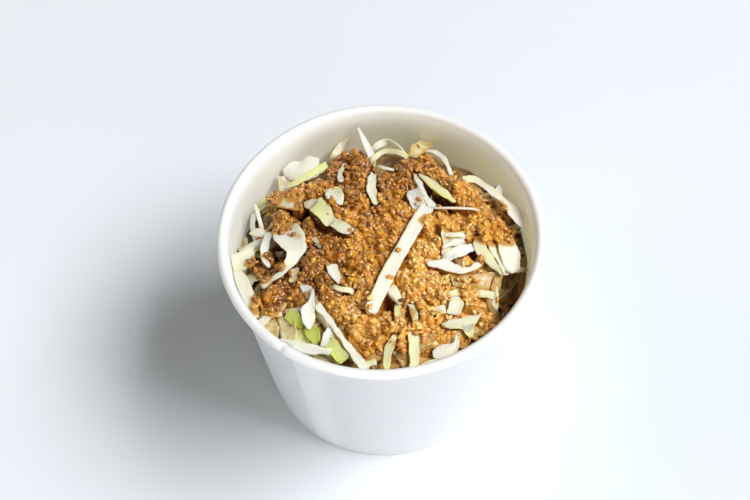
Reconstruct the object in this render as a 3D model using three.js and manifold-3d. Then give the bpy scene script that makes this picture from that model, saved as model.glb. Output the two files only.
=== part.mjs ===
// A round paper tub of shredded white cabbage under a thick dressing of whole and crushed sesame.
// Millimetres, +Z up. The origin is the middle of the tub's foot, on the ground.

import * as THREE from 'three';
import { mergeVertices } from 'three/addons/utils/BufferGeometryUtils.js';
import Module from 'manifold-3d';

const wasm = await Module();
wasm.setup();

// ---- Driving dimensions ----

const TUB_HEIGHT = 84;
const RIM_DIAMETER = 115;
const FOOT_DIAMETER = 91;
const RIM_ROLL = 3.4; // thickness of the rolled rim
const PAPER = 0.5;
const GAP = 0.3; // between pieces that lie on each other
const HEM_HEIGHT = 6.5; // wall paper turned up inside the foot
const FLOOR_LEVEL = 8; // upper face of the recessed floor disc
const ROUND_SIDES = 48;
const WALL_CLEARANCE = 0.45; // of the food, with the wall's flat sides allowed for

const HEAP_MIDDLE = 82.5; // height of the heap's middle
const HEAP_EDGE = 71.5; // its mean height at the wall
const HEAP_BACK_DROP = 6.5; // the heap is lower at the back (+Y) and higher at the front
const HEAP_RIGHT_DROP = 1;
const HEAP_CORNER_RISE = 1.5; // front left and back right stand a little higher
const HEAP_CORNER_ANGLE = THREE.MathUtils.degToRad(225);
const HEAP_RADIUS = 53;
const HEAP_ROUNDNESS = 2.5;
const CORE_DEPTH = 3; // the packed cabbage lies this far under the heap's surface
const CORE_EDGE_DEPTH = 5; // and this far at the wall
const CORE_SIDES = 32;

const DRESSING_RISE = 0.6; // its mean height over the heap's surface
const DRESSING_LUMP = 1.2;
const LUMP_PITCH = 17;
const DRESSING_EDGE_DROP = 2.2;
const DRESSING_SIDES = 32;
const GRAIN_LENGTH = 3;
const GRAIN_WIDTH = 1.9;
const GRAIN_RISE = 0.8; // of a grain's middle over the dressing
const GRAIN_COUNT = 84;
const SEED = 20;

const LEAF = 1.1; // thickness of a leaf shred
const RIB = 2.2; // thickness of a shred from the leaf's rib
const ROOT_RUN = 2; // how far a buried end runs on
const ROOT_DEPTH = 5.5; // and how far under the heap's surface it ends
const WIDE_SHRED = 5.5; // a shred as wide as this is dished
const DISH = 0.15; // depth of the dish for each unit of width
const SKIN = 0.35; // clearance of the dressing round each shred
const WELD = 0.02; // points closer than this are one

// ---- Outline of the dressing in plan: radius at each angle in degrees ----

const DRESSING_EDGE = [
  [0, 46], [20, 45], [45, 41], [75, 45], [92, 45], [115, 47], [136, 39], [160, 43],
  [180, 41], [204, 46], [221, 31], [238, 42], [270, 49], [298, 47], [322, 38], [343, 44],
];

// ---- Shreds: width, thickness, roll about the route at its two ends, which ends are buried,
// ---- and the route's points as [x, y, rise over the heap]

const shred = (wide, thick, roll, buried, ...route) => ({ wide, thick, roll, buried, route });

const SHREDS = {
  long_rib: shred(5.5, RIB, [0, 0], 'start', [16, 10, 2], [8, -6, 2], [2, -18, 2], [-4, -34, 2.4]),
  rib_fold: shred(3.6, LEAF, [40, -10], 'both', [14, 28, 1], [16, 18, 2], [15, 12, 2.4], [19, 8, 2]),
  crescent: shred(4, LEAF, [-30, -10], 'both', [14, 28, 1], [21, 19, 2.2], [28, 13, 1.6]),
  outer_band: shred(3.4, LEAF, [-35, -35], 'both', [16, 42, 1], [22, 42, 1.4], [26, 35, 1.4], [28, 29, 1]),
  stained_tip: shred(5, LEAF, [20, 10], 'start', [11, 36, 1], [16, 43, 2], [23, 48, 2.4]),
  curl: shred(3, LEAF, [60, 60], 'both', [-1, 46, 1], [4, 48, 2.4], [10, 43, 1]),
  spike: shred(3, LEAF, [20, 0], 'start', [-2, 41, 0], [-4.5, 47, 4], [-7, 51.5, 11]),
  back_shred: shred(3, LEAF, [30, 0], 'start', [-16, 45, 0], [-13, 49, 3], [-10, 51, 6]),
  green_edge: shred(3.4, LEAF, [40, 30], 'both', [-34, 27, 0.6], [-26, 31, 2], [-18, 37, 1]),
  back_white: shred(5, LEAF, [30, 20], 'both', [-35, 36, 1], [-31, 36, 2], [-26, 35, 1]),
  coated: shred(6, RIB, [0, 10], 'start', [-41, 22, 1], [-34, 19, 1.6], [-27, 15, 2]),
  bright_lobe: shred(6, LEAF, [-20, 0], 'start', [-15, 23, 1], [-16, 18, 1.6], [-18, 13, 1.4]),
  bright_leaf: shred(6.5, LEAF, [0, 15], 'both', [-21, 13, 1], [-18, 6, 1.8], [-9, -2, 1.6]),
  middle_white: shred(3.2, LEAF, [30, 20], 'both', [-1, 29, 1], [-2, 20, 2], [-1, 12, 1.6]),
  curled_leaf: shred(6, RIB, [10, -30], 'start',
    [-38, 0, 1], [-32, 4, 3], [-28, -3, 2.4], [-33, -12, 2.2], [-42, -18.5, 2.2]),
  curled_limb: shred(3, LEAF, [-50, -40], 'both', [-37, 5, 2], [-41, 0, 2], [-41, -7, 2], [-38, -12, 1]),
  wall_leaf: shred(7, LEAF, [15, 0], 'both', [-51, -8, 1], [-48, -5, 2], [-43, -1, 1]),
  rim_piece: shred(7, RIB, [-15, -20], 'both',
    [-49, -9, 1.4], [-46.5, -17, 2], [-44, -24, 2.4], [-41, -31, 1.6]),
  pale_fan: shred(6, LEAF, [25, 15], 'both', [-39, -32, 0.6], [-34, -35, 1.2], [-29, -35, 1]),
  lime_leaf: shred(6, LEAF, [20, -20], 'both', [-33, -28, 1.2], [-28, -33, 1.6], [-22, -40, 1.4]),
  twisted_top: shred(3.6, LEAF, [0, 70], 'start', [-28, -20, 1.6], [-24, -24, 2.6], [-25, -30, 2.4]),
  twisted_end: shred(4.4, LEAF, [60, 0], 'start', [-24, -27, 2.4], [-28, -32, 2.4], [-27, -38, 2]),
  long_strip: shred(2.8, RIB, [10, 10], 'both',
    [-24, -27.5, 2], [-17, -36, 2.6], [-10, -44.5, 2.4], [-3, -50.5, 2]),
  lime_end: shred(7, LEAF, [0, 0], 'both', [-20, -39, 1], [-16, -43, 1.4], [-12, -49, 1]),
  front_strip: shred(3.4, RIB, [0, 0], 'end', [-34, -39, 2], [-26, -43.5, 2.6], [-18, -46.5, 2]),
  right_fold_a: shred(6, LEAF, [-20, 30], 'both', [21, 1, 1], [26, -2, 2], [32, -3, 1.2]),
  right_fold_b: shred(4.6, LEAF, [30, -20], 'both', [21, -5, 1], [26, -8.5, 2], [31, -9, 1.2]),
  right_crescent: shred(3.6, LEAF, [20, -30], 'both', [14, -13, 1], [22, -16, 2], [29, -17, 2], [34, -12, 1.2]),
  thick_left: shred(4.8, RIB, [0, 30], 'start', [33, -1, 1.4], [36, -9, 2.4], [41, -17, 2]),
  thick_right: shred(6, RIB, [10, 30], 'start', [40, -3, 1.6], [45, -8, 2], [45, -14, 1.6]),
  back_band: shred(5, LEAF, [-20, 10], 'start',
    [31, 28, 1], [37, 26, 1.8], [42, 19, 2.2], [47, 12, 3], [50.5, 6, 3]),
  clear_strip: shred(5, LEAF, [10, 20], 'both', [22, -19, 0.4], [36, -17, 1], [49, -12, 1]),
  yellow_strip: shred(2.6, LEAF, [30, 50], 'start', [19, -24.5, 1.2], [30, -24, 2], [39, -25, 2], [38.5, -29, 2]),
  pale_leaf: shred(4.2, LEAF, [0, 15], 'both', [18, -36, 1], [26, -36, 2], [34, -33.5, 1.6]),
  pale_lobe: shred(5, LEAF, [0, -20], 'both', [28, -34, 1], [28.5, -38, 1.6], [28, -42, 1]),
  rolled_end: shred(4, 3.2, [0, 0], 'both', [2, -25, 1.4], [5, -28, 1.8], [7, -30, 1.4]),
  front_green_a: shred(3.4, LEAF, [30, 30], 'both', [3, -29, 1], [3.5, -34, 1.4], [3, -39, 1]),
  front_green_b: shred(4, LEAF, [0, 0], 'both', [8.5, -40, 1.2], [9, -45, 1.8], [9, -50.5, 1.2]),
  front_green_c: shred(3, LEAF, [-30, -10], 'both', [4, -39.5, 1.2], [1, -45, 1.8], [-1, -50, 1.2]),
  front_bit: shred(4, LEAF, [20, 0], 'both', [15, -46.5, 1], [20, -44, 2], [24.5, -43, 1.4]),
};

// ---- Small helpers ----

const UP = new THREE.Vector3(0, 0, 1);

function seededRandom(seed) {
  let state = seed >>> 0;
  return () => {
    state = (Math.imul(state, 1664525) + 1013904223) >>> 0;
    return state / 4294967296;
  };
}

function toSolid(geometry) {
  const bare = geometry.clone();
  bare.deleteAttribute('normal');
  bare.deleteAttribute('uv');
  const merged = mergeVertices(bare, WELD);
  const corners = merged.index.array;
  const triangles = [];
  for (let i = 0; i < corners.length; i += 3) {
    const [a, b, c] = [corners[i], corners[i + 1], corners[i + 2]];
    if (a !== b && b !== c && c !== a) triangles.push(a, b, c);
  }
  return new wasm.Manifold(new wasm.Mesh({
    numProp: 3,
    vertProperties: new Float32Array(merged.attributes.position.array),
    triVerts: new Uint32Array(triangles),
  }));
}

function toGeometry(solid) {
  const mesh = solid.getMesh();
  const geometry = new THREE.BufferGeometry();
  geometry.setAttribute('position', new THREE.BufferAttribute(mesh.vertProperties, 3));
  geometry.setIndex(new THREE.BufferAttribute(mesh.triVerts, 1));
  geometry.computeVertexNormals();
  return geometry;
}

// A welded solid's largest body: scraps that a cut leaves loose are dropped, sealed hollows filled.
function largestBody(solid) {
  const bodies = toSolid(toGeometry(solid)).decompose();
  return bodies.reduce((best, body) => (body.volume() > best.volume() ? body : best));
}

// A profile of [radius, height] pairs turned about the vertical axis.
function turned(profile, sides) {
  const points = profile.map(([radius, height]) => new THREE.Vector2(radius, height));
  return new THREE.LatheGeometry(points, sides).rotateX(Math.PI / 2);
}

// A turned shape whose every point is then moved by a function.
function turnedAndShaped(profile, sides, shape) {
  const geometry = turned(profile, sides);
  const places = geometry.attributes.position;
  const point = new THREE.Vector3();
  for (let i = 0; i < places.count; i += 1) {
    shape(point.fromBufferAttribute(places, i));
    places.setXYZ(i, point.x, point.y, point.z);
  }
  return geometry;
}

function addMesh(group, name, geometry, colour, roughness) {
  const material = new THREE.MeshStandardMaterial({ color: colour, roughness, metalness: 0 });
  material.flatShading = true;
  const mesh = new THREE.Mesh(geometry, material);
  mesh.name = name;
  group.add(mesh);
}

// ---- The tub: a side wall with a rolled rim and a turned-up hem, and a recessed floor ----

const ROLL_RADIUS = RIM_ROLL / 2;
const ROLL_MIDDLE = RIM_DIAMETER / 2 - ROLL_RADIUS;
const ROLL_LEVEL = TUB_HEIGHT - ROLL_RADIUS;
const FOOT_RADIUS = FOOT_DIAMETER / 2;
const WALL_TOP_RADIUS = ROLL_MIDDLE - 0.82 * ROLL_RADIUS;
const WALL_SLOPE = (WALL_TOP_RADIUS - FOOT_RADIUS) / ROLL_LEVEL;

const outerRadius = (level) => FOOT_RADIUS + WALL_SLOPE * level;
const innerRadius = (level) => outerRadius(level) - PAPER;
const foodRadius = (level) => innerRadius(level) - WALL_CLEARANCE;

function rollPoint(degrees) {
  const angle = THREE.MathUtils.degToRad(degrees);
  return [ROLL_MIDDLE + ROLL_RADIUS * Math.cos(angle), ROLL_LEVEL + ROLL_RADIUS * Math.sin(angle)];
}

function wallGeometry() {
  const slot = GAP + PAPER + GAP; // holds the floor's skirt
  const bevel = 0.3;
  const hemOuter = (level) => innerRadius(level) - slot;
  const hemInner = (level) => hemOuter(level) - PAPER;
  const rollStart = ROLL_LEVEL - 0.65 * ROLL_RADIUS; // where the wall's outer face meets the roll
  const roll = [-140, -95, -45, 0, 45, 90, 150].map(rollPoint);
  const profile = [
    [hemInner(0), bevel],
    [hemInner(0) + bevel, 0],
    [outerRadius(0) - bevel, 0],
    [outerRadius(bevel), bevel],
    [outerRadius(rollStart), rollStart],
    ...roll,
    [innerRadius(rollStart), rollStart],
    [innerRadius(PAPER), PAPER],
    [hemOuter(PAPER), PAPER],
    [hemOuter(HEM_HEIGHT), HEM_HEIGHT],
    [hemInner(HEM_HEIGHT), HEM_HEIGHT],
  ];
  return turned([...profile, profile[0]], ROUND_SIDES);
}

function floorGeometry() {
  const outer = (level) => innerRadius(level) - GAP;
  const bevel = 0.3;
  const skirtFoot = PAPER + 2 * GAP;
  const under = FLOOR_LEVEL - PAPER;
  return turned([
    [0, under],
    [outer(under) - PAPER, under],
    [outer(skirtFoot) - PAPER, skirtFoot],
    [outer(skirtFoot), skirtFoot],
    [outer(FLOOR_LEVEL - bevel), FLOOR_LEVEL - bevel],
    [outer(FLOOR_LEVEL) - bevel, FLOOR_LEVEL],
    [0, FLOOR_LEVEL],
  ], ROUND_SIDES);
}

// ---- The heap: its surface, its packed core and the room inside the tub ----

function heapHeight(x, y) {
  const angle = Math.atan2(y, x);
  const edge = HEAP_EDGE - HEAP_BACK_DROP * Math.sin(angle) - HEAP_RIGHT_DROP * Math.cos(angle)
    + HEAP_CORNER_RISE * Math.cos(2 * (angle - HEAP_CORNER_ANGLE));
  const reach = Math.min(Math.hypot(x, y), HEAP_RADIUS) / HEAP_RADIUS;
  return HEAP_MIDDLE - (HEAP_MIDDLE - edge) * reach ** HEAP_ROUNDNESS;
}

// Waves that cross at odd angles, between -1 and 1.
function lumps(x, y, pitch) {
  const turn = (2 * Math.PI) / pitch;
  return (Math.sin(turn * (x + 0.4 * y)) + Math.sin(turn * (0.8 * y - 0.5 * x) + 1)
    + Math.sin(turn * (0.6 * x + 1.3 * y) + 2)) / 3;
}

function coreSolid() {
  const bottom = FLOOR_LEVEL + GAP;
  const shoulder = 60; // the core fills the tub up to here
  const top = shoulder + 1; // any level above it: the heap's surface sets the real one
  const rings = [0.985, 0.9, 0.76, 0.6, 0.44, 0.28, 0.13];
  const profile = [
    [0, bottom],
    [foodRadius(bottom), bottom],
    [foodRadius(shoulder), shoulder],
    ...rings.map((ring) => [ring * HEAP_RADIUS, top]),
    [0, top],
  ];
  return toSolid(turnedAndShaped(profile, CORE_SIDES, (point) => {
    if (point.z <= shoulder) return;
    const atWall = Math.hypot(point.x, point.y) > 0.95 * HEAP_RADIUS;
    const depth = atWall ? CORE_EDGE_DEPTH : CORE_DEPTH;
    point.z = heapHeight(point.x, point.y) - depth + lumps(point.x, point.y, LUMP_PITCH);
  }));
}

// The space that the food may fill, kept clear of the wall.
function roomSolid() {
  const bottom = FLOOR_LEVEL;
  const top = TUB_HEIGHT + 10;
  const profile = [[0, bottom], [foodRadius(bottom), bottom], [foodRadius(top), top], [0, top]];
  return toSolid(turned(profile, ROUND_SIDES));
}

// ---- Shreds ----

// The route, run on and down at each buried end so that the shred grows out of the core.
function shredPoints({ route, buried }) {
  const points = route.map(([x, y, rise]) => new THREE.Vector3(x, y, heapHeight(x, y) + rise));
  const root = (end, next) => {
    const foot = end.clone().sub(next).setZ(0).setLength(ROOT_RUN).add(end);
    return foot.setZ(heapHeight(foot.x, foot.y) - ROOT_DEPTH);
  };
  const first = buried === 'end' ? [] : [root(points[0], points[1])];
  const final = buried === 'start' ? [] : [root(points.at(-1), points.at(-2))];
  return [...first, ...points, ...final];
}

// The corners of a closed tube of rings with flat caps, for rings of an even number of points
// that run along the upper face and back along the lower one.
function ribbonCorners(ring, steps) {
  const corners = [];
  for (let step = 0; step < steps; step += 1) {
    for (let side = 0; side < ring; side += 1) {
      const a = step * ring + side;
      const b = step * ring + ((side + 1) % ring);
      corners.push(a, b, a + ring, b, b + ring, a + ring);
    }
  }
  const cap = [];
  for (let side = 0; side < ring / 2 - 1; side += 1) {
    const [a, b, c, d] = [side, side + 1, ring - 2 - side, ring - 1 - side];
    cap.push(a, d, b, b, d, c);
  }
  return [...corners, ...cap, ...cap.map((corner) => steps * ring + corner).reverse()];
}

// A ribbon along the route that narrows to its ends. A wide one has a third point across, dished.
function shredGeometry(piece, skin) {
  const points = shredPoints(piece);
  const curve = new THREE.CatmullRomCurve3(points, false, 'centripetal');
  const steps = points.length - 1;
  const half = piece.wide / 2 + skin;
  const rise = piece.thick / 2 + skin;
  const isWide = piece.wide >= WIDE_SHRED;
  const stations = isWide ? [-1, 0, 1] : [-1, 1];
  const dish = isWide ? DISH * piece.wide : 0;
  const places = [];
  for (let step = 0; step <= steps; step += 1) {
    const along = step / steps;
    const middle = curve.getPoint(along);
    const ahead = curve.getTangent(along);
    const roll = THREE.MathUtils.degToRad(THREE.MathUtils.lerp(...piece.roll, along));
    const across = ahead.clone().cross(UP).normalize().applyAxisAngle(ahead, roll);
    const face = across.clone().cross(ahead).normalize();
    const taper = 0.6 + 0.4 * Math.min(1, 4 * Math.min(along, 1 - along));
    const rowAt = (height) => stations.map((station) => middle.clone()
      .addScaledVector(across, station * half * taper)
      .addScaledVector(face, height + dish * (station * station - 0.5)));
    places.push(...rowAt(rise), ...rowAt(-rise).reverse());
  }
  const geometry = new THREE.BufferGeometry();
  const numbers = places.flatMap((place) => place.toArray());
  geometry.setAttribute('position', new THREE.Float32BufferAttribute(numbers, 3));
  geometry.setIndex(ribbonCorners(2 * stations.length, steps));
  return geometry;
}

function shredSolids(skin) {
  return Object.values(SHREDS).map((piece) => toSolid(shredGeometry(piece, skin)));
}

// ---- Dressing ----

function dressingReach(angle) {
  const degrees = THREE.MathUtils.euclideanModulo(THREE.MathUtils.radToDeg(angle), 360);
  const rows = [...DRESSING_EDGE, [360, DRESSING_EDGE[0][1]]];
  const next = Math.max(1, rows.findIndex(([at]) => at > degrees));
  const [[from, near], [to, far]] = [rows[next - 1], rows[next]];
  return THREE.MathUtils.lerp(near, far, THREE.MathUtils.smoothstep(degrees, from, to));
}

function dressingHeight(x, y) {
  return heapHeight(x, y) + DRESSING_RISE + DRESSING_LUMP * lumps(x, y, LUMP_PITCH);
}

// A lumpy slab that reaches down into the core, where the core's own shape then cuts it off.
function dressingSlab() {
  const bottom = 58;
  const top = bottom + 1;
  const rings = [1, 0.97, 0.83, 0.67, 0.51, 0.35, 0.18];
  const profile = [[0, bottom], [1, bottom], ...rings.map((ring) => [ring, top]), [0, top]];
  return toSolid(turnedAndShaped(profile, DRESSING_SIDES, (point) => {
    const reach = dressingReach(Math.atan2(point.y, point.x));
    const atEdge = Math.hypot(point.x, point.y) > 0.99;
    point.x *= reach;
    point.y *= reach;
    if (point.z <= bottom) return;
    point.z = dressingHeight(point.x, point.y) - (atEdge ? DRESSING_EDGE_DROP : 0);
  }));
}

// A sesame grain: a flat teardrop that lies along Y.
function grainGeometry() {
  const profile = [[0, -0.5], [0.4, -0.22], [0.42, 0.1], [0, 0.5]];
  return turned(profile, 5).rotateX(Math.PI / 2).scale(GRAIN_WIDTH, GRAIN_LENGTH, 0.8 * GRAIN_WIDTH);
}

// Grains spread evenly over the slab by the golden angle, each turned and shifted at random.
function grainSolids() {
  const random = seededRandom(SEED);
  const golden = Math.PI * (3 - Math.sqrt(5));
  const grain = grainGeometry();
  return Array.from({ length: GRAIN_COUNT }, (_, count) => {
    const angle = count * golden;
    const radius = 0.93 * dressingReach(angle) * Math.sqrt((count + 0.5) / GRAIN_COUNT);
    const x = radius * Math.cos(angle) + random() - 0.5;
    const y = radius * Math.sin(angle) + random() - 0.5;
    const turn = new THREE.Euler(random() - 0.5, random() - 0.5, 2 * Math.PI * random());
    const place = new THREE.Matrix4().makeRotationFromEuler(turn);
    place.setPosition(x, y, dressingHeight(x, y) + GRAIN_RISE);
    return toSolid(grain.clone().applyMatrix4(place));
  });
}

// ---- Assembly ----

const { Manifold } = wasm;
const core = coreSolid();
const salad = Manifold.union([core, ...shredSolids(0)]).intersect(roomSolid());
const dressing = Manifold.union([dressingSlab(), ...grainSolids()])
  .subtract(core.translate([0, 0, SKIN]))
  .subtract(Manifold.union(shredSolids(SKIN)));

const group = new THREE.Group();
addMesh(group, 'tub_wall', wallGeometry(), 0xf4f5f6, 0.55);
addMesh(group, 'tub_floor', floorGeometry(), 0xf1f1f0, 0.6);
addMesh(group, 'cabbage_salad', toGeometry(largestBody(salad)), 0xeceacb, 0.5);
addMesh(group, 'sesame_dressing', toGeometry(largestBody(dressing)), 0xb8793a, 0.35);

export default group;
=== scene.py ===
"""A white paper cup of shredded white cabbage under a thick dressing of sesame grains.

Shapes are worked out in millimetres with numpy, and add_piece() turns them into metres.
+Z is up, the origin is the middle of the cup's foot, and -Y faces the viewer.
"""

import bpy
import numpy as np
from mathutils import Matrix, Vector


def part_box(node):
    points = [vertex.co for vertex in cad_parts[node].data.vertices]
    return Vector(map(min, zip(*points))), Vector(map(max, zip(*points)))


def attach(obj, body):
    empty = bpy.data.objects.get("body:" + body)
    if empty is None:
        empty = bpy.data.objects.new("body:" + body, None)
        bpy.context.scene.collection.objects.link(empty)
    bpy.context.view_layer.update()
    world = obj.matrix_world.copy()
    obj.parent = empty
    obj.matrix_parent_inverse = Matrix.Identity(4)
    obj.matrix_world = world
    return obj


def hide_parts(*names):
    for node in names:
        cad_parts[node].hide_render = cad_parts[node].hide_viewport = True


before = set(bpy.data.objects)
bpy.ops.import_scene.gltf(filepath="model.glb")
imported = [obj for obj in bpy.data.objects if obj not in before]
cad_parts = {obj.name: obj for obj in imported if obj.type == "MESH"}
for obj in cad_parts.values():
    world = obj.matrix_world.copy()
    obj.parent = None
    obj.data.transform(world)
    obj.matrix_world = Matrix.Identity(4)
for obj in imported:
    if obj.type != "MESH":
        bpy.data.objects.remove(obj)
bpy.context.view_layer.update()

MM = 0.001
UP = np.array([0.0, 0.0, 1.0])
FULL_TURN = 2 * np.pi


# ---- Camera: the viewing angle that fits the cup's rim, wall and foot ----

CAMERA_TARGET = (-2.34, 28.06, 30.0)
CAMERA_DISTANCE = 583.6
CAMERA_ELEVATION = 56.53  # degrees above the horizon
CAMERA_ROLL = -2.85
CAMERA_LENS = 72.0


def add_camera():
    """A camera that looks down at the cup from the front, turned a little about its own axis."""
    data = bpy.data.cameras.new("camera")
    data.sensor_width = 36.0
    data.lens = CAMERA_LENS
    camera = bpy.data.objects.new("camera", data)
    bpy.context.scene.collection.objects.link(camera)
    bpy.context.scene.camera = camera
    tilt = np.radians(90 - CAMERA_ELEVATION)
    turn = Matrix.Rotation(tilt, 4, "X") @ Matrix.Rotation(np.radians(CAMERA_ROLL), 4, "Z")
    place = Vector(CAMERA_TARGET) + turn @ Vector((0, 0, CAMERA_DISTANCE))
    camera.matrix_world = Matrix.Translation(place * MM) @ turn


add_camera()


# ---- Sizes of the cup, the heap and its pieces ----

wall_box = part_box("tub_wall")
CUP_HEIGHT = wall_box[1].z / MM
RIM_RADIUS = wall_box[1].x / MM
FOOT_RADIUS = 45.5
RIM_ROLL = 3.4  # thickness of the rolled rim
PAPER = 0.5
HEM_HEIGHT = 6.5  # paper turned up inside the foot
HEM_SLOT = 1.1  # between the wall and the hem, where the floor's skirt hangs
FLOOR_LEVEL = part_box("tub_floor")[1].z / MM
SEAM_ANGLE = np.radians(232.5)  # where the wall's paper overlaps itself
SEAM_WIDTH = 9.0
SEAM_TURN = SEAM_WIDTH / FOOT_RADIUS  # the seam's width as an angle
SEAM_STEP = 0.45
NOTCH_DEPTH = 0.35  # of the nick in the roll beside the seam's step
SHADED_ANGLE = np.radians(30)  # the side whose inner face gets the most painted warm bounce light from the salad

HEAP_MIDDLE = 82.5  # level of the heap's top
HEAP_EDGE = 71.5  # mean level at the wall, with what it drops at the back and at the right
HEAP_BACK_DROP = 6.5
HEAP_RIGHT_DROP = 1.0
HEAP_CORNER_RISE = 1.5  # at the front left and the back right
HEAP_CORNER_ANGLE = np.radians(225)
HEAP_RADIUS = 53.0
HEAP_ROUNDNESS = 2.5  # power of the fall from the top to the edge
CORE_DEPTH = 3.6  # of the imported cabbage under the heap's surface
CORE_EDGE_DEPTH = 6.0  # the same at the wall
CORE_SHOULDER = 60.0  # level up to which it fills the cup

DRESSING_RISE = 0.9  # mean, over the heap's surface
DRESSING_LUMP = 1.5  # height of the large lumps
DRESSING_BUMP = 0.9  # height of the small ones
CREVICE_DEPTH = 2.6
SLAB_DEPTH = 14.0  # of the paste's hidden underside, lower than the deepest gap
LUMP_PITCH = 17.0
BUMP_PITCH = 8.5
CREVICE_PITCH = 14.0
DRESSING_EDGE_DROP = 2.6
BURIED = 0.6  # a shred that lies this far under the dressing has grains over it
DRESSING_EDGE = [  # outline in plan: angle in degrees, radius
    (4, 46.5), (18, 46), (30, 42.5), (45, 41.5), (54, 41), (64, 44.5), (74, 43), (79, 33), (91, 32),
    (96, 47), (109, 48.5), (116, 41), (124, 36.5), (142, 41), (150, 45), (162, 40), (180, 42), (196, 42),
    (205, 48), (212, 51), (218, 45), (224, 37), (236, 36), (245, 39), (255, 44.5), (264, 50), (298, 50),
    (318, 50), (328, 42), (338, 39), (346, 43), (354, 47),
]
HOLLOWS = [  # dark gaps in the heap: x, y, radius, depth
    (45, -20, 7, 10), (40, -28, 4, 4), (1.5, -28, 2.8, 6), (16.4, 22, 3, 7), (19.8, 17.4, 3.6, 9),
    (24.4, 13.6, 2.8, 6), (-27.5, 12.5, 3.6, 7), (-22, -3, 2.2, 2.5), (4.6, 37, 3.4, 8), (-11.5, 38, 2.4, 5),
    (-10, 29, 1.8, 4), (-47, 11, 6, 4), (31, -6, 2.4, 4), (32, -10, 2.2, 3.5), (48, 0, 3, 3), (-38, -6, 3.4, 4.5),
    (31, 34, 3.2, 3), (32, 17, 3, 1.5), (-22, -35, 2, 3), (-24, -17, 2.3, 2), (14, -49, 2, 2), (7.8, -34.5, 1.6, 3),
]

LEAF = 0.9  # thickness of a leaf shred
RIB = 2.0  # thickness of a shred from the leaf's rib
RIB_LIMPNESS = 0.25  # of a rib, where a leaf's is 1
ROOT_RUN = 2.0  # how far a buried end runs on before it is this deep
ROOT_DEPTH = 5.5
DISH = 0.28  # how far a shred's edges rise over its middle, for its half width
FRILL = 0.07  # height of the long waves in its edges, for its width
BUCKLE = 0.025  # and of the short ones
THIN_EDGE = 0.3  # thickness lost at the edges
WALL_CLEARANCE = 0.3
SHEET_STEP, SHEET_RING = 0.6, 22  # spacing along a piece of leaf, and points round it
SHRED_STEP, SHRED_RING = 0.7, 18


# ---- Shapes: points, faces and the numbers kept at each point ----

class Shape:
    """Closed surfaces: points in millimetres, quads, triangles, and named numbers per point."""

    def __init__(self, points, quads, triangles, **marks):
        self.points = np.asarray(points, float).reshape(-1, 3)
        self.quads = np.asarray(quads, int).reshape(-1, 4)
        self.triangles = np.asarray(triangles, int).reshape(-1, 3)
        size = len(self.points)
        self.marks = {name: np.broadcast_to(mark, size) for name, mark in marks.items()}


def joined(shapes):
    """One shape of several: each one's faces are numbered on from the points before it."""
    starts = np.cumsum([0] + [len(shape.points) for shape in shapes])
    pairs = list(zip(shapes, starts))
    return Shape(
        np.concatenate([shape.points for shape in shapes]),
        np.concatenate([shape.quads + start for shape, start in pairs]),
        np.concatenate([shape.triangles + start for shape, start in pairs]),
        **{name: np.concatenate([shape.marks[name] for shape in shapes]) for name in shapes[0].marks},
    )


def ring_quads(rows, ring, closed=False):
    """Quads between successive closed rings of points, and from the last ring to the first if closed."""
    row = np.arange(rows if closed else rows - 1)[:, None]
    after = (row + 1) % rows
    side = np.arange(ring)[None]
    beside = (side + 1) % ring
    return np.stack([row * ring + side, row * ring + beside, after * ring + beside, after * ring + side], -1)


def capped(rings, first_pole, last_pole, **marks):
    """A closed surface through rows of rings, each end closed by a fan to its pole."""
    rows, ring = rings.shape[:2]
    side = np.arange(ring)
    beside = (side + 1) % ring
    first, last = rows * ring, rows * ring + 1
    low_fan = np.stack([np.full(ring, first), beside, side], -1)
    high_fan = np.stack([np.full(ring, last), side + (rows - 1) * ring, beside + (rows - 1) * ring], -1)
    points = np.concatenate([rings.reshape(-1, 3), [first_pole, last_pole]])
    marks = {
        name: np.concatenate([np.broadcast_to(mark, (rows, ring)).ravel(), mark_ends(mark)])
        for name, mark in marks.items()
    }
    return Shape(points, ring_quads(rows, ring), np.concatenate([low_fan, high_fan]), **marks)


def mark_ends(mark):
    """A mark's numbers at the two poles: its mean over the first ring and over the last one."""
    grid = np.atleast_2d(mark)
    return [grid[0].mean(), grid[-1].mean()]


def turned(profile, turns):
    """Rings of a profile about the cup's axis: (r cos a, r sin a, z) for its pairs (r, z), at each turn a."""
    radius, height = np.asarray(profile, float).T
    x = radius[:, None] * np.cos(turns)
    y = radius[:, None] * np.sin(turns)
    return np.stack([x, y, np.broadcast_to(height[:, None], x.shape)], axis=-1)


def smoothstep(low, high, value):
    """0 up to low, 1 from high on, and 3t^2 - 2t^3 between them."""
    t = np.clip((value - low) / (high - low), 0, 1)
    return t * t * (3 - 2 * t)


def unit(vectors):
    """Vectors of length 1 in the same directions."""
    return vectors / np.linalg.norm(vectors, axis=-1, keepdims=True)


def add_piece(name, shape, finish, replaced):
    """A mesh object of the shape, in metres, that rides on the cup and stands for a CAD node."""
    mesh = bpy.data.meshes.new(name)
    corners = np.concatenate([shape.quads.ravel(), shape.triangles.ravel()])
    sizes = np.concatenate([np.full(len(shape.quads), 4), np.full(len(shape.triangles), 3)])
    mesh.vertices.add(len(shape.points))
    mesh.vertices.foreach_set("co", (shape.points * MM).ravel())
    mesh.loops.add(len(corners))
    mesh.loops.foreach_set("vertex_index", corners)
    mesh.polygons.add(len(sizes))
    mesh.polygons.foreach_set("loop_start", np.cumsum(sizes) - sizes)
    for mark, numbers in shape.marks.items():
        mesh.attributes.new(mark, "FLOAT", "POINT").data.foreach_set("value", numbers.astype(np.float32))
    mesh.update(calc_edges=True)
    mesh.shade_smooth()
    mesh.materials.append(finish)
    piece = bpy.data.objects.new(name, mesh)
    bpy.context.scene.collection.objects.link(piece)
    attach(piece, "root")
    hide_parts(replaced)


# ---- Materials ----

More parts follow.
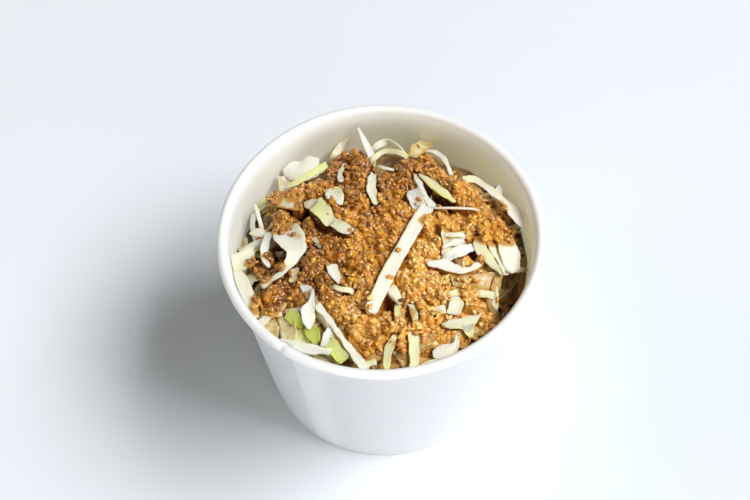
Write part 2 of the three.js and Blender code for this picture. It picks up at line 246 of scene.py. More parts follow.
class Value:
    """A number in a shader. Arithmetic on it adds the Math nodes that work it out."""

    def __init__(self, finish, socket):
        self.finish = finish
        self.socket = socket

    def math(self, operation, first, second):
        return self.finish.node("ShaderNodeMath", {"operation": operation}, {0: first, 1: second})

    def __add__(self, other):
        return self.math("ADD", self, other)

    __radd__ = __add__

    def __sub__(self, other):
        return self.math("SUBTRACT", self, other)

    def __rsub__(self, other):
        return self.math("SUBTRACT", other, self)

    def __mul__(self, other):
        return self.math("MULTIPLY", self, other)

    __rmul__ = __mul__

    def between(self, low, high):
        """0 at low, 1 at high, even between them and held outside."""
        return self.finish.node("ShaderNodeMapRange", {}, {0: self, 1: low, 2: high})


class Finish:
    """A material in the making: its Principled surface, and one method that adds any other node."""

    def __init__(self, name, **constants):
        self.material = bpy.data.materials.new(name)
        self.material.use_nodes = True
        self.tree = self.material.node_tree
        self.surface = self.tree.nodes["Principled BSDF"]
        for socket, value in constants.items():
            self.surface.inputs[socket.replace("_", " ")].default_value = value
        self.place = self.node("ShaderNodeTexCoord", {}, {}, "Object")

    def node(self, kind, settings, values, output=0):
        """Adds a node of a type with its settings, then the values or links of its sockets."""
        node = self.tree.nodes.new(kind)
        for name, setting in settings.items():
            if name == "stops":
                self.set_stops(node.color_ramp.elements, setting)
            else:
                setattr(node, name, setting)
        self.feed(node, values)
        return Value(self, node.outputs[output])

    def set_stops(self, elements, stops):
        """Sets a ramp's elements, and adds those that it lacks."""
        while len(elements) < len(stops):
            elements.new(1.0)
        for element, (position, colour) in zip(elements, stops):
            element.position = position
            element.color = (*colour, 1.0)

    def feed(self, node, values):
        """Links or sets the sockets of a node."""
        for name, value in values.items():
            if isinstance(value, Value):
                self.tree.links.new(value.socket, node.inputs[name])
            else:
                node.inputs[name].default_value = value

    def mark(self, name):
        """A number kept at the piece's points."""
        return self.node("ShaderNodeAttribute", {"attribute_name": name}, {}, "Fac")

    def noise(self, size, detail=2.0, roughness=0.5):
        """Clouds of about that size in millimetres, 0 to 1."""
        values = {"Vector": self.place, "Scale": 1 / (size * MM), "Detail": detail, "Roughness": roughness}
        return self.node("ShaderNodeTexNoise", {}, values, "Fac")

    def ramp(self, value, *stops):
        """The colour for a value, from stops of a position and a colour."""
        return self.node("ShaderNodeValToRGB", {"stops": stops}, {"Fac": value}, "Color")

    def mix(self, factor, first, second, blend="MIX"):
        """Colours mixed by a factor."""
        settings = {"data_type": "RGBA", "blend_type": blend}
        return self.node("ShaderNodeMix", settings, {0: factor, 6: as_colour(first), 7: as_colour(second)}, 2)

    def bump(self, height, distance):
        """A normal for a height of 0 to 1 that stands for that many millimetres."""
        return self.node("ShaderNodeBump", {}, {"Height": height, "Distance": distance * MM, "Strength": 1.0})

    def done(self, **links):
        """Feeds the surface and hands over the material."""
        self.feed(self.surface, {name.replace("_", " "): value for name, value in links.items()})
        return self.material


def as_colour(colour):
    """A shader's colour as it is, and three numbers with an alpha of 1."""
    return colour if isinstance(colour, Value) else (*colour, 1.0)


def white_paper():
    """Coated paper board: near white, faint mottling and fibres, satin. Its inner face is mixed towards warm yellow:
    painted warm bounce light from the salad.
    """
    finish = Finish(
        "white_paper",
        Subsurface_Weight=0.75, Subsurface_Radius=(1.0, 0.9, 0.7), Subsurface_Scale=0.0035,
        Specular_IOR_Level=0.3,
    )
    mottling = finish.noise(6.0, detail=3.0)
    fibres = finish.noise(0.5, detail=4.0, roughness=0.7)
    clean = finish.mix(mottling, (0.81, 0.82, 0.828), (0.83, 0.84, 0.848))
    # painted warm bounce light: the inside mark mixes the inner face towards warm yellow
    colour = finish.mix(finish.mark("inside"), clean, (1.0, 0.865, 0.56))
    return finish.done(
        Base_Color=colour,
        Roughness=0.42 + 0.12 * fibres,
        Normal=finish.bump(fibres + 0.6 * mottling, 0.012),
    )


def core_in_painted_shade():
    """Cabbage deep in the heap: near black through olive brown to dull straw, wet in places. Its darkness is partly
    painted shade of the heap's depths, partly cabbage soaked in dressing.
    """
    finish = Finish("core_in_painted_shade")
    clouds = finish.noise(4.0, detail=4.0)
    # a dark ramp: painted shade for the heap's deep gaps, with the brown of soaked cabbage
    colour = finish.ramp(clouds, (0.3, (0.08, 0.035, 0.01)), (0.5, (0.20, 0.11, 0.03)), (0.7, (0.38, 0.29, 0.11)))
    return finish.done(Base_Color=colour, Roughness=0.55, Normal=finish.bump(clouds, 1.5))


def cabbage():
    """Raw cabbage: white rib to yellow-green leaf, fine veins along it, brown where the dressing soaked in, and near
    black where a stain over 1.3 paints the shade in a rolled shred's open end.
    """
    finish = Finish(
        "cabbage",
        Subsurface_Weight=0.6, Subsurface_Radius=(1.0, 0.9, 0.45), Subsurface_Scale=0.0025,
        Specular_IOR_Level=0.45,
    )
    green, stain = finish.mark("green"), finish.mark("stain")
    stretched = finish.node(
        "ShaderNodeCombineXYZ", {},
        {0: finish.mark("along") * 0.12, 1: finish.mark("across") * 3.0, 2: finish.mark("tone") * 40.0})
    veins = finish.node(
        "ShaderNodeTexNoise", {}, {"Vector": stretched, "Scale": 1.6, "Detail": 3.0, "Roughness": 0.6}, "Fac")
    clouds = finish.noise(3.0, detail=3.0)
    leaf = finish.ramp(
        green + 0.22 * (clouds - 0.5) + 0.18 * (veins - 0.5),
        (0.0, (0.92, 0.905, 0.82)), (0.25, (0.90, 0.885, 0.65)), (0.5, (0.87, 0.88, 0.44)),
        (0.75, (0.71, 0.78, 0.22)), (1.0, (0.57, 0.67, 0.09)))
    toned = finish.mix(finish.mark("tone"), leaf, (0.96, 0.945, 0.89), "MULTIPLY")
    soaked = (stain * 1.3 + 1.1 * (clouds - 0.5)).between(0.35, 1.0)
    beige = finish.mix(soaked.between(0.0, 0.7), toned, (0.66, 0.48, 0.19))
    stained = finish.mix(soaked.between(0.55, 1.0) * 0.8, beige, (0.56, 0.26, 0.035))
    # near black above a stain of 1.3: painted shade, for the dark disc at a rolled shred's open end (soak 2)
    colour = finish.mix(stain.between(1.3, 1.7), stained, (0.13, 0.04, 0.01))
    return finish.done(
        Base_Color=colour,
        Roughness=0.46 - 0.16 * soaked + 0.1 * (veins - 0.5),
        Normal=finish.bump(veins + 0.6 * clouds, 0.22),
    )


def wet_finish(name, weight, scale):
    """The start of a brown, oily finish: light goes a little way in, and a wet coat shines."""
    return Finish(
        name,
        Subsurface_Weight=weight, Subsurface_Radius=(1.0, 0.5, 0.2), Subsurface_Scale=scale,
        Specular_IOR_Level=0.1, Coat_Roughness=0.05, Coat_IOR=1.75,
    )


def dressing_paste():
    """Soy and sesame paste: dark brown in the gaps, amber where it stands up round the grains, wet. The dark of the
    gaps is partly painted shade.
    """
    finish = wet_finish("dressing_paste", 0.4, 0.001)
    clouds = finish.noise(5.0, detail=3.0)
    grit = finish.noise(0.6, detail=4.0, roughness=0.65)
    # colour by the rise mark: the dark brown of low paste in the gaps is partly painted shade
    colour = finish.ramp(
        finish.mark("rise") + 0.5 * (clouds - 0.5) + 0.3 * (grit - 0.5),
        (0.0, (0.10, 0.028, 0.002)), (0.35, (0.30, 0.105, 0.007)), (0.7, (0.51, 0.21, 0.025)),
        (1.0, (0.74, 0.36, 0.06)))
    return finish.done(
        Base_Color=colour, Roughness=0.35 + 0.2 * grit, Coat_Weight=clouds.between(0.35, 0.7),
        Normal=finish.bump(grit, 0.3))


def sesame():
    """Toasted sesame: pale tan to amber to brown from grain to grain, wet, with a few burnt specks. Its brown also
    holds painted shade in the gaps and at the left, and painted light at the lower right; its grey drift to the left
    and back is painted shade, and its golden parts at the right and front are painted light.
    """
    finish = wet_finish("sesame", 0.3, 0.0008)
    clouds = finish.noise(1.6, detail=2.0)
    specks = finish.noise(0.7, detail=1.0).between(0.70, 0.76)
    # how brown: this also holds painted shade (gaps, left) and painted light (lower right)
    toasted = finish.ramp(
        finish.mark("toast") * 0.72 + 0.3 * (clouds - 0.5),
        (0.0, (0.95, 0.63, 0.24)), (0.22, (0.82, 0.42, 0.09)), (0.45, (0.57, 0.235, 0.03)),
        (0.72, (0.26, 0.085, 0.007)), (1.0, (0.03, 0.012, 0.006)))
    dull = finish.mark("dull")
    # mauve-grey where dull, golden where least dull: their drift across the heap is painted shade and painted light
    greyed_and_shaded = finish.mix(dull.between(0.5, 1.0), toasted, (0.41, 0.195, 0.075))
    body = finish.mix(dull.between(0.35, 0.0) * 0.7, greyed_and_shaded, (0.93, 0.44, 0.03))
    return finish.done(
        Base_Color=finish.mix(specks * 0.85, body, (0.05, 0.02, 0.01)),
        Roughness=0.35 + 0.2 * clouds,
        Coat_Weight=clouds.between(0.25, 0.55),
        Normal=finish.bump(clouds, 0.12),
    )


def pale_ground():
    """A plain matt studio surface."""
    finish = Finish("pale_ground", Specular_IOR_Level=0.1)
    clouds = finish.noise(60.0)
    return finish.done(Base_Color=finish.mix(clouds, (0.755, 0.806, 0.862), (0.765, 0.816, 0.872)), Roughness=0.9)


# ---- The cup ----

ROLL_RADIUS = RIM_ROLL / 2
ROLL_MIDDLE = RIM_RADIUS - ROLL_RADIUS
ROLL_LEVEL = CUP_HEIGHT - ROLL_RADIUS
WALL_TOP_RADIUS = ROLL_MIDDLE - 0.82 * ROLL_RADIUS


def outer_radius(level):
    """The wall's outer radius: a straight cone from the foot to the roll."""
    return FOOT_RADIUS + (WALL_TOP_RADIUS - FOOT_RADIUS) / ROLL_LEVEL * level


def inner_radius(level):
    """The wall's inner radius at a level."""
    return outer_radius(level) - PAPER


def wall_profile():
    """The wall's section: up its outer face, round the roll, down its inner face and up the hem."""
    bevel = 0.22
    rows = 18
    angles = np.radians(np.linspace(-150, 175, 27))
    roll = np.stack([ROLL_MIDDLE + ROLL_RADIUS * np.cos(angles), ROLL_LEVEL + ROLL_RADIUS * np.sin(angles)], -1)
    outer_levels = np.linspace(0.9, ROLL_LEVEL - 0.62 * ROLL_RADIUS, rows)
    inner_levels = np.linspace(ROLL_LEVEL - 0.3, 0.5, rows)
    outer = np.stack([outer_radius(outer_levels), outer_levels], -1)
    inner = np.stack([inner_radius(inner_levels), inner_levels], -1)
    hem_out, hem_in = inner_radius(0) - HEM_SLOT, inner_radius(0) - HEM_SLOT - PAPER
    lean, shoulder = 0.45, HEM_HEIGHT - 0.1
    return np.concatenate([
        [(hem_in, bevel), (hem_in + bevel, 0), (outer_radius(0) - bevel, 0), (outer_radius(0.1), bevel)],
        outer, roll, inner,
        [(hem_out, PAPER), (hem_out + lean, shoulder), (hem_out + 0.2, HEM_HEIGHT), (hem_in + lean, shoulder)],
    ])


def seam_turns():
    """Turns round the cup, close together near the two paper edges of the seam."""
    even = np.linspace(0, FULL_TURN, 240, endpoint=False)
    near = SEAM_ANGLE + np.concatenate([np.linspace(-0.02, 0.02, 13), SEAM_TURN + np.linspace(-0.06, 0.06, 9)])
    return np.unique(np.round(np.concatenate([even, near]), 5))


def cup_wall():
    """The turned wall, where one turn of paper overlaps the other: the outer face steps out sharply at
    the overlap's edge and eases back over its width, and the roll has a shallow notch at the step. Its
    inner face is marked for a painted warm bounce light from the salad: more on the shaded side, and less
    near the rim."""
    turns = seam_turns()
    profile = wall_profile()
    rings = turned(profile, turns)
    radius = np.hypot(rings[..., 0], rings[..., 1])
    past = turns - SEAM_ANGLE
    overlap = smoothstep(-0.004, 0.004, past) * (1 - smoothstep(0.6 * SEAM_TURN, 1.4 * SEAM_TURN, past))
    notch = np.exp(-((past + 0.012) / 0.02) ** 2)
    outward = profile[:, 0] > inner_radius(profile[:, 1]) + 0.3 * PAPER
    on_roll = smoothstep(ROLL_LEVEL - ROLL_RADIUS, ROLL_LEVEL, profile[:, 1]) * outward
    above_foot = smoothstep(0.5, 3.0, profile[:, 1])
    grown = SEAM_STEP * overlap * (outward * above_foot * (1 - 0.55 * on_roll))[:, None]
    grown = grown - NOTCH_DEPTH * notch * on_roll[:, None]
    rings[..., :2] *= ((radius + grown) / radius)[..., None]
    rings[..., 2] -= (NOTCH_DEPTH * notch) * on_roll[:, None]
    rings[..., 2] = np.minimum(rings[..., 2], CUP_HEIGHT)
    # Painted warm bounce light on the inner face: most on the side away from the key light, low down near the salad,
    # less near the rim.
    shaded = 0.5 + 0.5 * np.cos(turns - SHADED_ANGLE)
    low = 0.35 + 0.65 * smoothstep(CUP_HEIGHT - 1, CUP_HEIGHT - 12, profile[:, 1])
    inside = ((1 - outward) * low)[:, None] * (0.15 + 0.85 * shaded)
    return Shape(rings, ring_quads(len(rings), len(turns), closed=True), [], inside=inside.ravel())


def cup_floor():
    """The floor disc with its skirt, which hangs between the wall and the hem."""
    edge = inner_radius(FLOOR_LEVEL) - WALL_CLEARANCE
    under = FLOOR_LEVEL - PAPER
    foot = PAPER + 0.6
    low = inner_radius(foot) - WALL_CLEARANCE
    profile = [
        (edge - 12, under), (edge - PAPER - 0.6, under), (edge - PAPER, under - 0.5),
        (low - PAPER, foot), (low - 0.1, foot), (low, foot + 0.1), (edge, FLOOR_LEVEL - 0.5),
        (edge - 0.4, FLOOR_LEVEL - 0.1), (edge - 0.9, FLOOR_LEVEL), (edge - 12, FLOOR_LEVEL),
    ]
    turns = np.linspace(0, FULL_TURN, 192, endpoint=False)
    return capped(turned(profile, turns), (0, 0, under), (0, 0, FLOOR_LEVEL), inside=0.0)


# ---- The heap ----

def heap_height(x, y):
    """The heap's mean surface: a dome that falls by a power of the reach to an edge that is lower at
    the back and higher at the front left."""
    angle = np.arctan2(y, x)
    edge = HEAP_EDGE - HEAP_BACK_DROP * np.sin(angle) - HEAP_RIGHT_DROP * np.cos(angle)
    edge = edge + HEAP_CORNER_RISE * np.cos(2 * (angle - HEAP_CORNER_ANGLE))
    reach = np.minimum(np.hypot(x, y), HEAP_RADIUS) / HEAP_RADIUS
    return HEAP_MIDDLE - (HEAP_MIDDLE - edge) * reach ** HEAP_ROUNDNESS


def lumps(x, y, pitch):
    """Three waves that cross at odd angles, between -1 and 1."""
    turn = FULL_TURN / pitch
    return (
        np.sin(turn * (x + 0.4 * y)) + np.sin(turn * (0.8 * y - 0.5 * x) + 1)
        + np.sin(turn * (0.6 * x + 1.3 * y) + 2)
    ) / 3


def spread_round(spots, x, y):
    """For spots of x, y, radius, amount: each amount times exp(-(distance / radius)^2), added up."""
    return sum(
        amount * np.exp(-((x - at_x) ** 2 + (y - at_y) ** 2) / radius ** 2)
        for at_x, at_y, radius, amount in spots
    )


def hollow_depth(x, y):
    """How deep the gaps in the heap go at a place."""
    return spread_round(HOLLOWS, x, y)


def core_shape():
    """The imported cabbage: it fills the cup up to a shoulder, and its top lies under the heap's surface,
    lower at the wall, with lumps of two sizes."""
    bottom = FLOOR_LEVEL + 0.3
    side = [(inner_radius(level) - 0.5, level) for level in np.linspace(bottom, CORE_SHOULDER, 12)]
    reach = np.linspace(0.985, 0.02, 60)
    profile = [(20, bottom), *side, *[(HEAP_RADIUS * part, CORE_SHOULDER + 1) for part in reach]]
    rings = turned(profile, np.linspace(0, FULL_TURN, 160, endpoint=False))
    top = rings[-len(reach):]
    x, y = top[..., 0], top[..., 1]
    depth = CORE_DEPTH + (CORE_EDGE_DEPTH - CORE_DEPTH) * smoothstep(0.75, 0.98, np.hypot(x, y) / HEAP_RADIUS)
    top[..., 2] = heap_height(x, y) - depth + lumps(x, y, LUMP_PITCH) + 0.6 * lumps(y, x, 6.0) - hollow_depth(x, y)
    return capped(inside_wall(rings), (0, 0, bottom), (0, 0, heap_height(0, 0) - CORE_DEPTH))


# ---- Shreds of cabbage ----

def shred(wide, thick, roll, buried, green, *route, soak=0.0):
    """A shred: width (one, or at its start, middle and end), thickness, roll about the route at its
    two ends, which ends are buried, greenness at its two ends, the route as x, y, rise over the heap,
    and how far the dressing has soaked into all of it."""
    return {
        "wide": wide, "thick": thick, "roll": roll, "buried": buried, "green": green, "route": route,
        "soak": soak,
    }


SHREDS = {
    "thread": shred(0.9, LEAF, (0, 0), "end", (0.1, 0.2), (19, 9, 2.4), (26, 9.4, 2.6), (35, 10, 1.8)),
    "curl": shred(2.4, LEAF, (60, 60), "both", (0.15, 0.15), (-1, 46, 1), (4, 49, 3), (9, 44, 1)),
    "curl_low": shred(1.9, LEAF, (50, 20), "both", (0.3, 0.4), (-1.5, 37, 1), (3, 41, 2.4), (10, 39.5, 1.6)),
    "spike": shred((3.2, 2.8, 1.6), LEAF, (20, 0), "start", (0.0, 0.0), (-2, 40, 1), (-4, 46, 5), (-6.5, 51, 12)),
    "back_shred": shred(3, LEAF, (30, 0), "start", (0.1, 0.1), (-16, 45, 0), (-13, 49, 3), (-10, 51, 6), soak=0.35),
    "wall_sliver": shred(1.6, LEAF, (30, 0), "start", (0.1, 0.1), (-43, 13, 0), (-44, 17, 3), (-45, 20, 5)),
    "wall_bit": shred(3.4, LEAF, (10, 10), "start", (0.0, 0.0), (42, 18.6, 0.5), (43.4, 20.8, 3), (44.6, 23, 4.4)),
    "left_slip": shred(1.9, LEAF, (0, 30), "both", (0.4, 0.3),
        (-17, -21.5, 1.6), (-14.5, -23, 2.2), (-11.5, -23.3, 1.6)),
    "rolled_end": shred((3.6, 3.8, 3.6), 3.0, (0, 0), "start", (0.1, 0.1),
        (2.6, -23.5, 1.0), (4, -26.5, 1.6), (5.6, -29.3, 1.8)),
}


def sheet(thick, green, left, right, soak=0.0):
    """A piece of leaf or rib: its thickness, greenness at its two ends, its two long edges as x, y,
    rise over the heap, and how far the dressing has soaked into all of it."""
    return {"thick": thick, "green": green, "left": left, "right": right, "soak": soak}


SHEETS = {
    "long_rib": sheet(RIB, (0.0, 0.0),
        [(15, 11, 2.4), (10.4, 3, 2.8), (5.6, -6.5, 3), (0.2, -16, 3.2), (-4.2, -25.5, 3.2), (-7.2, -31.6, 3)],
        [(19.3, 8.8, 2.4), (14.8, 0.5, 2.8), (10.4, -7.5, 3), (5.2, -17.2, 3.2), (0.7, -26.5, 3.2), (-3, -34, 3)]),
    "rib_fold": sheet(1.4, (0.05, 0.0),
        [(12.4, 30.5, -1), (13, 23, 1.8), (14.5, 17, 2.6), (17, 9, 2.6)],
        [(14, 30, -1), (15.6, 22, 1.4), (17, 16, 1.8), (20.3, 9.5, 2.2)]),
    "rib_flap": sheet(LEAF, (0.05, 0.1),
        [(10, 18, 1.2), (10.2, 14, 1.2), (12, 9, 1)], [(14.6, 18.5, 2.6), (15.8, 13.5, 3), (16.5, 8.5, 2.4)]),
    "crescent": sheet(LEAF, (0.35, 0.5),
        [(14.4, 27.6, 1), (16, 22.6, 2.6), (19.3, 17.4, 3), (22.4, 14, 3), (26, 12, 2.6)],
        [(15.6, 27.4, 0.8), (18.8, 23.8, 2.4), (21.8, 19.8, 2.6), (25, 16.6, 2.6), (27.4, 12.6, 2.4)]),
    "outer_band": sheet(LEAF, (0.1, 0.05),
        [(16.5, 44.5, 1.4), (22, 42.5, 2.6), (25.6, 37, 2.4), (27.5, 29, 0)],
        [(17.3, 42.4, 1.4), (21.4, 40.4, 1.8), (24.2, 35.6, 1.6), (26, 29, 0)]),
    "stained_tip": sheet(LEAF, (0.3, 0.5),
        [(11, 40.5, 0.5), (13.4, 44.5, 3), (17.5, 49.6, 4.2), (21.8, 50.8, 4.2)],
        [(15, 37.5, 0.5), (17.6, 41.4, 2), (20.8, 45, 3), (22.4, 49.8, 4)], soak=0.48),
    "hollow_lip": sheet(LEAF, (0.2, 0.1), [(0, 32.6, 1.4), (3, 31, 1.6), (6, 30.4, 1)],
        [(0.5, 30.8, 1.2), (3, 29.6, 1.4), (6, 29.2, 0.6)]),
    "back_bit": sheet(LEAF, (0.4, 0.05), [(-12.3, 37, 0.6), (-14.6, 29, 2), (-14.2, 24.6, 1.8)],
        [(-11, 37, 0.6), (-12.6, 29, 2), (-12.4, 24.4, 1.8)]),
    "green_edge": sheet(LEAF, (0.45, 0.6),
        [(-33.8, 28.6, 1.6), (-29, 30.6, 2.8), (-24, 33.9, 2.8), (-19, 40, 1.4)],
        [(-33.2, 27, 1.4), (-28.4, 28.3, 1.2), (-22.8, 31.2, 1), (-17.8, 37, 0)]),
    "back_white": sheet(LEAF, (0.05, 0.1),
        [(-34.8, 38.5, 4.5), (-31, 40.5, 5), (-26, 41.5, 4.5), (-21, 41, 3)],
        [(-34.6, 35.5, 0.6), (-31, 32, 0.6), (-26, 30.3, 0.6), (-21, 32, 0.4)]),
    "back_beige": sheet(LEAF, (0.1, 0.1), [(-36.8, 36, 3), (-36.5, 31, 1), (-36, 27, 0)],
        [(-34.8, 36, 2.4), (-32.5, 31.5, 1), (-30, 28.5, 0.4)], soak=0.42),
    "coated": sheet(RIB, (0.05, 0.0),
        [(-41, 24.5, 1.6), (-36, 23.6, 2.4), (-31, 22.5, 2.6), (-26.8, 20, 2.2)],
        [(-40.6, 22, 1.4), (-37.5, 17.6, 2), (-33, 14.4, 2.2), (-28.6, 12, 2.2)], soak=0.42),
    "coated_beige": sheet(LEAF, (0.05, 0.1), [(-27, 17.6, 1.2), (-23.5, 18, 1.6), (-20.3, 15.6, 1.2)],
        [(-26.6, 14.3, 1), (-24, 12.2, 1), (-21.5, 12.6, 0.8)], soak=0.4),
    "bright_leaf": sheet(LEAF, (0.52, 0.32),
        [(-24.9, 10.6, 3.4), (-22, 6.4, 3.8), (-18.8, 2.6, 3)],
        [(-20.4, 16.8, 2.8), (-17, 11, 2.8), (-15.4, 5.2, 2.4)]),
    "bright_tip": sheet(LEAF, (0.4, 0.05), [(-18.6, 4.6, 2.6), (-15.3, 0.5, 3), (-11.8, -1.8, 2.6)],
        [(-17, 7.6, 1.8), (-12.8, 4.2, 2.4), (-8.6, 0.9, 2.2)]),
    "bright_lobe": sheet(1.4, (0.4, 0.05),
        [(-17.2, 22.4, 1.4), (-19.3, 19, 2.2), (-18.3, 15.6, 2.4), (-15, 12.6, 2)],
        [(-14.8, 22.2, 1.4), (-13, 19.5, 2), (-12.5, 16, 2), (-12.7, 13, 1.6)]),
    "middle_white": sheet(LEAF, (0.1, 0.2),
        [(-2.4, 29, 1.6), (-4, 22, 3), (-4.2, 17, 3), (-2, 11.6, 1.8)],
        [(-0.6, 26.5, 1.4), (-0.8, 21, 2), (-0.7, 16, 2), (-0.6, 11.6, 1.4)]),
    "curled_leaf": sheet(1.5, (0.0, 0.05),
        [(-37, 8, 1.4), (-38, 2, 3.4), (-35.7, -3.2, 3.6), (-33.2, -6.6, 3.4), (-34, -10.4, 3),
         (-36.4, -13.8, 2.8), (-42.4, -16.6, 2.6)],
        [(-32, 9, 1), (-28, 4, 2.2), (-26.2, -1.5, 1.6), (-26.3, -5, 1.4), (-29.4, -10, 1.8),
         (-33.5, -14.3, 2.2), (-41.6, -19.2, 2.4)]),
    "curled_limb": sheet(LEAF, (0.0, 0.0),
        [(-40.6, 5.5, 2.4), (-42.2, 0, 2.4), (-42.4, -5.6, 2), (-40, -9.6, 0.4)],
        [(-37.6, 4, 3.4), (-39.2, 0, 1.6), (-40, -4.6, 0.6), (-38.8, -9, 0)], soak=0.12),
    "under_curl": sheet(LEAF, (0.1, 0.1),
        [(-32, -12, 0.8), (-32.6, -17.6, 0.8)], [(-28.8, -11.6, 1), (-29, -17.2, 1)], soak=0.42),
    "left_flap": sheet(LEAF, (0.1, 0.1), [(-47, 7.6, 1.8), (-43.5, 8.8, 2), (-41, 8, 1.4)],
        [(-44.8, 6, 1), (-42.3, 4.6, 1), (-40.4, 3.6, 0.6)]),
    "small_beige": sheet(LEAF, (0.1, 0.2),
        [(-24.4, -0.6, 1.2), (-21.6, -5.2, 1.2)], [(-22.8, 0, 1.6), (-20, -4.6, 1.6)], soak=0.4),
    "wall_leaf": sheet(LEAF, (0.15, 0.2), [(-53, -3.2, 5), (-49, -2.2, 4.4), (-44.8, -0.4, 3.6)],
        [(-52.6, -8.8, 1.4), (-48.5, -9, 1), (-44, -7.2, 1)]),
    "rim_piece": sheet(RIB, (0.1, 0.05),
        [(-53, -8.5, 1.4), (-52, -13, 2), (-51, -17, 2.2), (-49.5, -21, 2.2), (-47.5, -25, 2), (-44.5, -30, 1.4)],
        [(-50, -8, 1), (-47.3, -12, 1.6), (-45.8, -16, 2), (-44.7, -20, 2.2), (-43.4, -25, 2.2),
         (-42.6, -29.6, 1.6)]),
    "rim_strip": sheet(1.3, (0.0, 0.0), [(-43.4, -31, 1.8), (-39, -29.6, 2.6), (-35, -29, 1.8)],
        [(-41.6, -33.6, 1.6), (-38.4, -31.4, 2.4), (-34.8, -30.6, 1.8)]),
    "fan_left": sheet(LEAF, (0.1, 0.2), [(-43.4, -31.5, -0.4), (-42.6, -35, -0.8), (-41, -38, -1)],
        [(-37.6, -29.4, 1), (-36.4, -34.4, 0.6), (-36.4, -40.4, -0.4)], soak=0.56),
    "fan_right": sheet(LEAF, (0.2, 0.3), [(-36.8, -29.8, 0), (-35.8, -34.8, -0.2), (-34.6, -40.8, -0.8)],
        [(-31.4, -31, 1.4), (-30, -35, 1), (-30.4, -40.4, 0.2)], soak=0.5),
    "fan_green": sheet(LEAF, (0.5, 0.6),
        [(-31, -34, -0.2), (-30.6, -40, -0.6)], [(-26.6, -35, 0.4), (-25.4, -42, 0.2)], soak=0.25),
    "lime_leaf": sheet(LEAF, (0.75, 0.95), [(-34, -31.2, 0.8), (-31.4, -34.2, 1), (-28.8, -36, 0.6)],
        [(-33, -28.4, 2), (-29.6, -30.2, 2.6), (-27.4, -34.4, 1.8)]),
    "lime_low": sheet(LEAF, (0.95, 0.8), [(-28, -36, 1), (-26.4, -39.6, 1.2), (-24.6, -42.2, 0.6)],
        [(-25.6, -35.2, 1.8), (-22.6, -37.2, 2.2), (-21.8, -41, 1.4)]),
    "lime_end": sheet(LEAF, (0.75, 0.65), [(-21.6, -42.6, 0.8), (-19.4, -46, 1.4), (-15.8, -49.8, 0.8)],
        [(-18.2, -40.2, 2), (-15.6, -43.6, 2.4), (-12.4, -47.8, 1.6)]),
    "twisted_top": sheet(LEAF, (0.0, 0.0), [(-28.8, -19.4, 1.6), (-27.6, -22.4, 2), (-26.6, -25.4, 1.6)],
        [(-26, -20, 2.4), (-24.4, -22, 3), (-24.6, -25.4, 3)]),
    "twisted_end": sheet(LEAF, (0.0, 0.0),
        [(-25.4, -22.4, 3), (-25.6, -26.4, 3.2), (-28.4, -30, 3.2), (-28, -34, 3), (-26.4, -37.2, 2.4)],
        [(-23.8, -22.4, 3), (-23.6, -26, 2.8), (-23.7, -29, 2.6), (-23.6, -32.6, 2.2), (-24.8, -36.8, 2)]),
    "long_strip": sheet(1.6, (0.0, 0.05),
        [(-24, -29.4, 2.6), (-20.2, -34.6, 2.6), (-16, -41.4, 2.6), (-12.6, -47.4, 2.4), (-9.4, -52.4, 1.4)],
        [(-22.4, -26.8, 2.4), (-18.2, -33.6, 2.4), (-14, -41, 2.4), (-9.8, -46.8, 2.4), (-5.6, -52, 1.4)]),
    "short_strip": sheet(LEAF, (0.05, 0.15), [(-19.4, -36.4, 1.8), (-21, -39.6, 2.2), (-22.6, -43.4, 1.8)],
        [(-17.6, -37.4, 1.6), (-18.4, -40.6, 1.8), (-20.2, -43.8, 1.4)], soak=0.12),
    "front_strip": sheet(1.6, (0.0, 0.0),
        [(-37, -41.8, 1.6), (-32.4, -44, 2), (-26, -45.9, 2), (-18.6, -46.6, 1.6)],
        [(-36, -39.4, 2.4), (-31, -40.6, 2.8), (-25, -42.9, 2.8), (-18.2, -45, 2.2)]),
    "left_bit": sheet(LEAF, (0.1, 0.05), [(-19.6, -12.4, 2.4), (-19, -15.8, 2.6), (-15.8, -20.4, 1.6)],
        [(-15.6, -12.6, 1.8), (-14.9, -16, 1.8), (-14.8, -20, 1.2)]),
    "right_fold_a": sheet(LEAF, (0.15, 0.05),
        [(20.6, 3, 1.6), (20.8, -2, 2.6), (21, -7, 2.6), (20.4, -11.4, 1.4)],
        [(34, 1.6, 1.8), (30, -2.6, 2.6), (27.4, -6, 2.2), (24.6, -11, 1.4)]),
    "right_fold_b": sheet(LEAF, (0.1, 0.05), [(20.5, -10.6, 1.6), (26, -7.6, 3.4), (31.4, -5.4, 2.4)],
        [(20.8, -13.2, 1), (26.6, -11.4, 2), (32, -7.6, 1.2)]),
    "right_fold_c": sheet(LEAF, (0.3, 0.1), [(21, -2.4, 3), (26, -2, 3.8), (31.5, -0.6, 3.2)],
        [(21, -3.8, 2.6), (26.4, -3.8, 3), (32, -2.2, 2.6)]),
    "right_fold_d": sheet(LEAF, (0.15, 0.2), [(20.8, -7.4, 2.6), (24.6, -5.4, 3.8), (28.8, -4.4, 3)],
        [(20.9, -8.6, 2.4), (25, -7.4, 3), (29.4, -5.9, 2.4)]),
    "right_crescent": sheet(1.3, (0.0, 0.1),
        [(14.8, -13, 1.4), (22, -12.6, 2), (26, -14.4, 2), (29.6, -15, 2), (33, -12, 1.6)],
        [(15.4, -14.4, 1.2), (20, -16.2, 2), (25, -18, 2.2), (30, -17, 2.4), (34.4, -13.8, 2)]),
    "thick_left": sheet(1.6, (0.35, 0.2), [(32.4, -1, 0.6), (32.2, -7.4, 0.8), (36, -12.4, 1.2), (41, -16.6, 2)],
        [(36.4, -1, 2.4), (36.8, -7, 3), (39.4, -12, 3), (41.4, -17, 2.4)]),
    "thick_middle": sheet(1.6, (0.1, 0.1), [(35.4, -1, 2.4), (37, -7, 2.6), (39.8, -12, 2.4), (41.4, -16.2, 2)],
